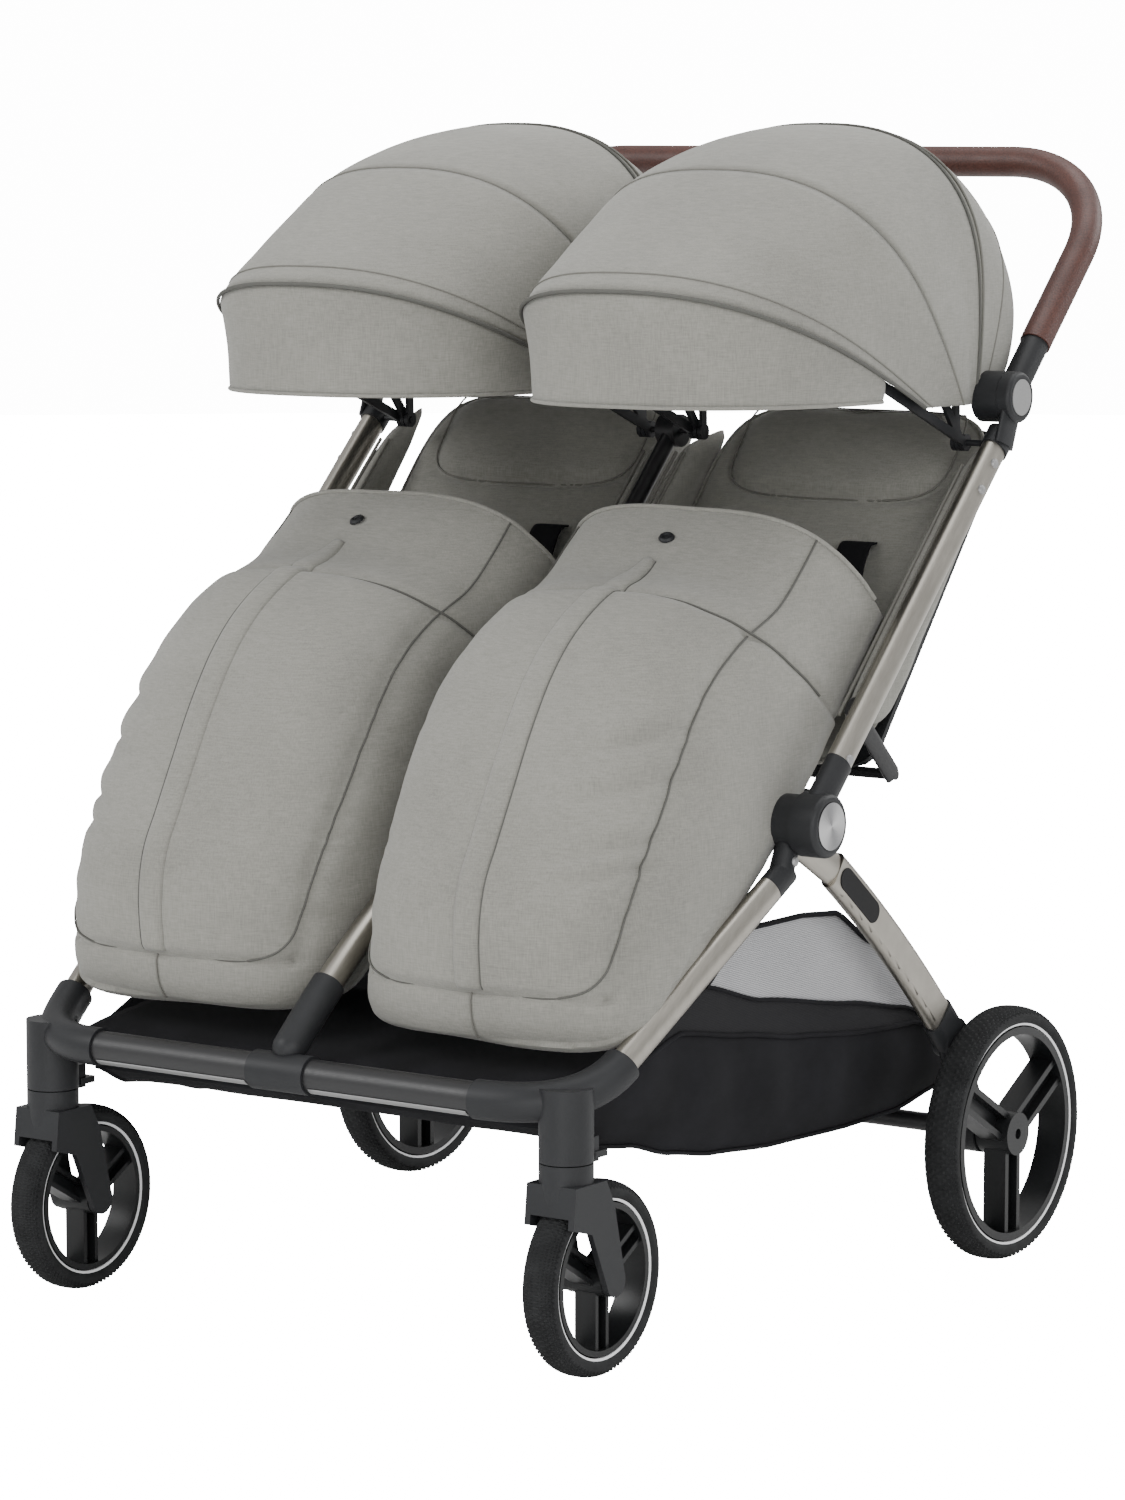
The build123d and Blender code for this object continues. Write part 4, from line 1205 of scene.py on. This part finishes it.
def buildTyre(name, body):
    low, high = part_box(name)
    middle = (low + high) / 2
    outer = (high.z - low.z) / 2
    half = (high.x - low.x) / 2
    depth = tyre["depth"]
    core = outer - depth / 2
    rows = tyre["rows"]
    steps = tyre["steps"]

    def place(u, v):
        turn = (2 * u - 1) * math.radians(tyre["lip"])
        around = 2 * math.pi * v
        wide = half * signedPower(math.sin(turn), 2 / tyre["flank"])
        far = core + depth / 2 * signedPower(math.cos(turn), 2 / tyre["crown"])
        column = round(u * rows)
        row = round(v * steps)
        if abs(math.degrees(turn)) < tyre["treadTurn"]:
            pitch = tyre["pitch"]
            cut = (row + column) % pitch == 0 or (row - column) % pitch == 0
            sink = tyre["groove"] if cut else 0.0
            far -= sink * math.cos(turn)
            wide -= sink * math.sin(turn)
        return middle + Vector((wide, far * math.cos(around), far * math.sin(around)))

    shape = gridShape(rows, steps, place)
    bmesh.ops.remove_doubles(shape, verts=shape.verts, dist=1e-6)
    bmesh.ops.recalc_face_normals(shape, faces=shape.faces)
    outward = sum(face.normal.dot(face.calc_center_median() - middle) for face in shape.faces)
    if outward < 0:
        bmesh.ops.reverse_faces(shape, faces=shape.faces)
    piece = addPiece(name + "_tread", shape, "tyre", 28)
    settle(piece, body)
    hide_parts(name)
    inner = outer - depth
    for hand, tag in ((-1, "a"), (1, "b")):
        ring = bmesh.new()
        near = inner + tyre["ringPlace"]
        far = near + tyre["ringWide"]
        sunk = (core - (near + far) / 2) / (depth / 2)
        face = half * (1 - sunk ** tyre["crown"]) ** (1 / tyre["flank"]) - 0.0002
        profile = [(face - 0.004, near), (face, near), (face + 0.0008, (near + far) / 2)]
        profile += [(face + 0.0009, far), (face - 0.003, far)]
        verts = [ring.verts.new((hand * x, 0, r)) for x, r in profile]
        edges = [ring.edges.new(pair) for pair in zip(verts, verts[1:])]
        turnRound(ring, verts + edges, (1, 0, 0), 96)
        bmesh.ops.translate(ring, verts=ring.verts, vec=middle)
        bmesh.ops.recalc_face_normals(ring, faces=ring.faces)
        if sum(f.normal.x for f in ring.faces) * hand < 0:
            bmesh.ops.reverse_faces(ring, faces=ring.faces)
        settle(addPiece(name + "_ring_" + tag, ring, "ring", 40), body)


for label in sides:
    buildTyre("castor_tyre_" + label, "castor_wheel_" + label)
    buildTyre("rear_tyre_" + label, "rear_wheel_" + label)
print("tyres made")


# Basket: a sewn tub with end walls, side bands, mesh and a front apron

basket = {
    "half": 0.280,
    "back": 0.246,
    "front": -0.372,
    "floor": [            # y and z of the floor
        (-0.372, 0.212),
        (-0.33, 0.192),
        (-0.28, 0.185),
        (-0.22, 0.168),
        (-0.15, 0.156),
        (-0.05, 0.147),
        (0.08, 0.143),
        (0.17, 0.144),
        (0.246, 0.156),
    ],
    "hem": [              # top of the tub
        (-0.372, 0.236),
        (-0.30, 0.262),
        (-0.22, 0.278),
        (-0.12, 0.262),
        (-0.028, 0.247),
        (0.088, 0.234),
        (0.176, 0.230),
        (0.246, 0.216),
    ],
    "band": [             # top of the black band
        (-0.372, 0.2365),
        (-0.30, 0.266),
        (-0.178, 0.314),
        (-0.087, 0.289),
        (0.068, 0.264),
        (0.16, 0.247),
        (0.246, 0.2165),
    ],
    "mesh": [             # top of the mesh
        (-0.178, 0.315),
        (-0.135, 0.345),
        (-0.104, 0.358),
        (-0.02, 0.358),
        (0.04, 0.353),
        (0.103, 0.317),
        (0.195, 0.262),
        (0.246, 0.218),
    ],
    "apron": [            # from the crossbar back
        (-0.4125, 0.243),
        (-0.396, 0.250),
        (-0.360, 0.256),
        (-0.310, 0.262),
        (-0.262, 0.272),
        (-0.235, 0.286),
    ],
    "apronHalf": 0.262,
    "bulge": 0.006,
    "pleat": 0.0022,
    "sag": 0.006,
    "floorInset": 0.014,        # the floor's edge lies this far inside the side walls
    "wall": 0.0022,
    "trim": 0.0014,
    "meshFront": -0.178,
}


def heightAt(line, y):
    for (y0, z0), (y1, z1) in zip(line, line[1:]):
        if y <= y1:
            share = min(max((y - y0) / (y1 - y0), 0), 1)
            share = share * share * (3 - 2 * share) * 0.35 + share * 0.65
            return z0 + (z1 - z0) * share
    return line[-1][1]


def basketSide(y, z):
    # outward bulge of the loaded side wall, held in at its hems
    low = heightAt(basket["floor"], y)
    share = min(max((z - low) / 0.12, 0), 1)
    ends = 1 - ((y + 0.063) / 0.32) ** 4
    pleat = basket["pleat"] * math.sin(y * 62) * math.sin(math.pi * min(share, 1)) ** 2
    bulge = basket["bulge"] * math.sin(math.pi * share)
    return basket["half"] + (bulge + pleat) * max(ends, 0.1)


def hang(piece):
    # the basket's front stays with the crossbar and its back goes with the rear legs
    start = (0, basket["front"], 0.2)
    end = (0, basket["back"], 0.2)
    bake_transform(piece, "chassis", "rear_legs", start=start, end=end)


def buildBasket():
    front, back = basket["front"], basket["back"]

    def tub(u, v):
        y = front + (back - front) * v
        low = heightAt(basket["floor"], y)
        top = heightAt(basket["hem"], y)
        across = 2 * u - 1
        if abs(across) > 0.5:
            share = (abs(across) - 0.5) / 0.5
            z = low + (top - low) * share
            x = basketSide(y, z) - basket["floorInset"] * (1 - share) ** 4
            return Vector((math.copysign(x, across), y, z))
        share = abs(across) / 0.5
        x = (basketSide(y, low) - basket["floorInset"]) * share
        sag = basket["sag"] * (1 - share ** 4) * math.sin(math.pi * v)
        wrinkle = 0.0015 * noise.noise(Vector((x * 12, y * 12, 4.0)))
        return Vector((math.copysign(x, across), y, low - sag + wrinkle + 0.004 * (1 - share ** 8)))

    shape = gridShape(96, 90, tub)
    bmesh.ops.recalc_face_normals(shape, faces=shape.faces)
    if sum(face.normal.z for face in shape.faces) > 0:
        bmesh.ops.reverse_faces(shape, faces=shape.faces)
    piece = addPiece("basket_tub", shape, "nylon", 60)
    thicken(piece, basket["wall"])
    hang(piece)
    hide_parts("basket")

    def endWall(y, lean, rise):
        def place(u, v):
            x = (basketSide(y, heightAt(basket["hem"], y)) - 0.001) * (2 * u - 1)
            low = heightAt(basket["floor"], y)
            top = heightAt(basket["hem"], y) + rise * (1 - abs(2 * u - 1) ** 6)
            inset = 0.012 * (1 - v) ** 3 * abs(2 * u - 1) ** 10
            shrink = math.copysign(inset, x)
            ripple = 0.002 * math.sin(x * 40) * math.sin(math.pi * v)
            return Vector((x - shrink, y + lean * v + ripple, low + (top - low) * v))
        return place

    for name, y, lean, rise in (("front", front, -0.006, 0.0), ("back", back, 0.002, 0.0)):
        shape = gridShape(60, 10, endWall(y, lean, rise))
        piece = addPiece("basket_" + name + "_wall", shape, "nylon", 60)
        thicken(piece, basket["wall"], 0.0)
        hang(piece)

    def apron(u, v):
        y, z = smoothLine(basket["apron"], v)
        x = basket["apronHalf"] * (2 * u - 1) * (1 - 0.22 * max(1 - v * 4, 0))
        return Vector((x, y, z - 0.004 * math.cos(x * 9) * math.sin(math.pi * v)))

    shape = facingUp(gridShape(60, 24, apron))
    piece = addPiece("basket_front_apron", shape, "nylon", 60)
    thicken(piece, 0.0018)
    settle(piece, "chassis")

    for label, side in sides.items():
        def panel(lowLine, highLine, first, last):
            def place(u, v):
                y = first + (last - first) * u
                low = heightAt(lowLine, y)
                high = max(heightAt(highLine, y), low + 0.0004)
                z = low + (high - low) * v
                return Vector((side * (basketSide(y, z) + 0.0004), y, z))
            return place

        rows = (
            ("band", "hem", "band", front, back, "knit"),
            ("mesh", "band", "mesh", basket["meshFront"], back, "mesh"),
        )
        for name, lowLine, highLine, first, last, finish in rows:
            shape = gridShape(90, 16, panel(basket[lowLine], basket[highLine], first, last))
            bmesh.ops.remove_doubles(shape, verts=shape.verts, dist=1e-6)
            bmesh.ops.recalc_face_normals(shape, faces=shape.faces)
            if sum(face.normal.x for face in shape.faces) * side < 0:
                bmesh.ops.reverse_faces(shape, faces=shape.faces)
            piece = addPiece("basket_" + name + "_" + label, shape, finish, 60)
            thicken(piece, basket["trim"])
            hang(piece)
        edges = (
            ("hem", "hem", front, back, 0.0024),
            ("band_hem", "band", basket["meshFront"], back, 0.0020),
            ("top_hem", "mesh", basket["meshFront"], back, 0.0026),
            ("floor_seam", "floor", front, back, 0.0018),
        )
        for name, line, first, last, radius in edges:
            points = []
            for index in range(91):
                y = first + (last - first) * index / 90
                z = heightAt(basket[line], y)
                x = basketSide(y, z) + 0.001 - (0.013 if line == "floor" else 0)
                points.append((side * x, y, z))
            cord = cordPiece("basket_" + name + "_" + label, points, radius, "nylon")
            hang(cord)


buildBasket()
print("basket made")


# Strips and rivets

strip = {
    "turn": (-64, -36),         # degrees about the crossbar, from straight ahead
    "radius": 0.0153,
    "clear": 0.004,             # from each casting's edge
    "thick": 0.0006,
}


def crossbarStrips():
    # a strip on the lower front of the crossbar, between the castings
    low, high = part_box("front_crossbar")
    middle = (low + high) / 2
    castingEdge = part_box("front_casting_left")[0].x
    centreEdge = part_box("front_centre_casting")[1].x
    clear = strip["clear"]
    for label, side in sides.items():
        def place(u, v):
            turn = math.radians(strip["turn"][0] + (strip["turn"][1] - strip["turn"][0]) * v)
            x = centreEdge + clear + (castingEdge - centreEdge - 2 * clear) * u
            y = middle.y - strip["radius"] * math.cos(turn)
            return Vector((side * x, y, middle.z + strip["radius"] * math.sin(turn)))

        shape = gridShape(24, 8, place)
        bmesh.ops.recalc_face_normals(shape, faces=shape.faces)
        if sum(face.normal.y for face in shape.faces) > 0:
            bmesh.ops.reverse_faces(shape, faces=shape.faces)
        piece = addPiece("crossbar_strip_" + label, shape, "disc", 40)
        thicken(piece, strip["thick"], 1.0)
        settle(piece, "chassis")


rivet = {"radius": 0.0047, "height": 0.0024, "sunk": 0.0006}
rivetPlaces = {                 # y, z and body; x comes from the surface there
    "tube_rivet_a": (0.164, 0.767, "upper_frame"),
    "tube_rivet_b": (0.141, 0.744, "upper_frame"),
    "hub_rivet": (-0.087, 0.516, "upper_frame"),
    "leg_rivet": (-0.143, 0.429, "chassis"),
}


def rivets():
    # heads seated on whatever the frame shows outwards at each height
    scene = bpy.context.scene
    for label, side in sides.items():
        for name, (y, z, body) in rivetPlaces.items():
            graph = bpy.context.evaluated_depsgraph_get()
            start = (side * 0.6, y, z)
            found, place, normal, *rest = scene.ray_cast(graph, start, (-side, 0, 0))
            if not found or abs(place.x) < 0.32:
                print("no surface for", name, label)
                continue
            seated = place - normal * rivet["sunk"]
            tag = name + "_" + label
            head = stud(tag, seated, normal, rivet["radius"], rivet["height"], "disc")
            settle(head, body)


crossbarStrips()
rivets()
print("hardware made")


# Floor

def layFloor():
    shape = bmesh.new()
    bmesh.ops.create_circle(shape, cap_ends=True, segments=64, radius=14)
    mesh = bpy.data.meshes.new("floor")
    shape.to_mesh(mesh)
    shape.free()
    finish = Recipe("studioFloor", view["floor"], roughness=0.9, specular=0.1)
    cloud = finish.speckle(finish.place(), 0.6, 2.0)
    pale = tuple(c * 1.02 for c in view["floor"])
    finish.feed("Base Color", finish.mix(cloud, view["floor"], pale))
    seen = finish.node("ShaderNodeLightPath")
    finish.feed("Emission Color", finish.mix(seen, (0.0, 0.0, 0.0), (1.0, 1.0, 1.0)))
    finish.shader.inputs["Emission Strength"].default_value = view["backdrop"]
    mesh.materials.append(finish.material)
    floor = bpy.data.objects.new("floor", mesh)
    bpy.context.scene.collection.objects.link(floor)


layFloor()
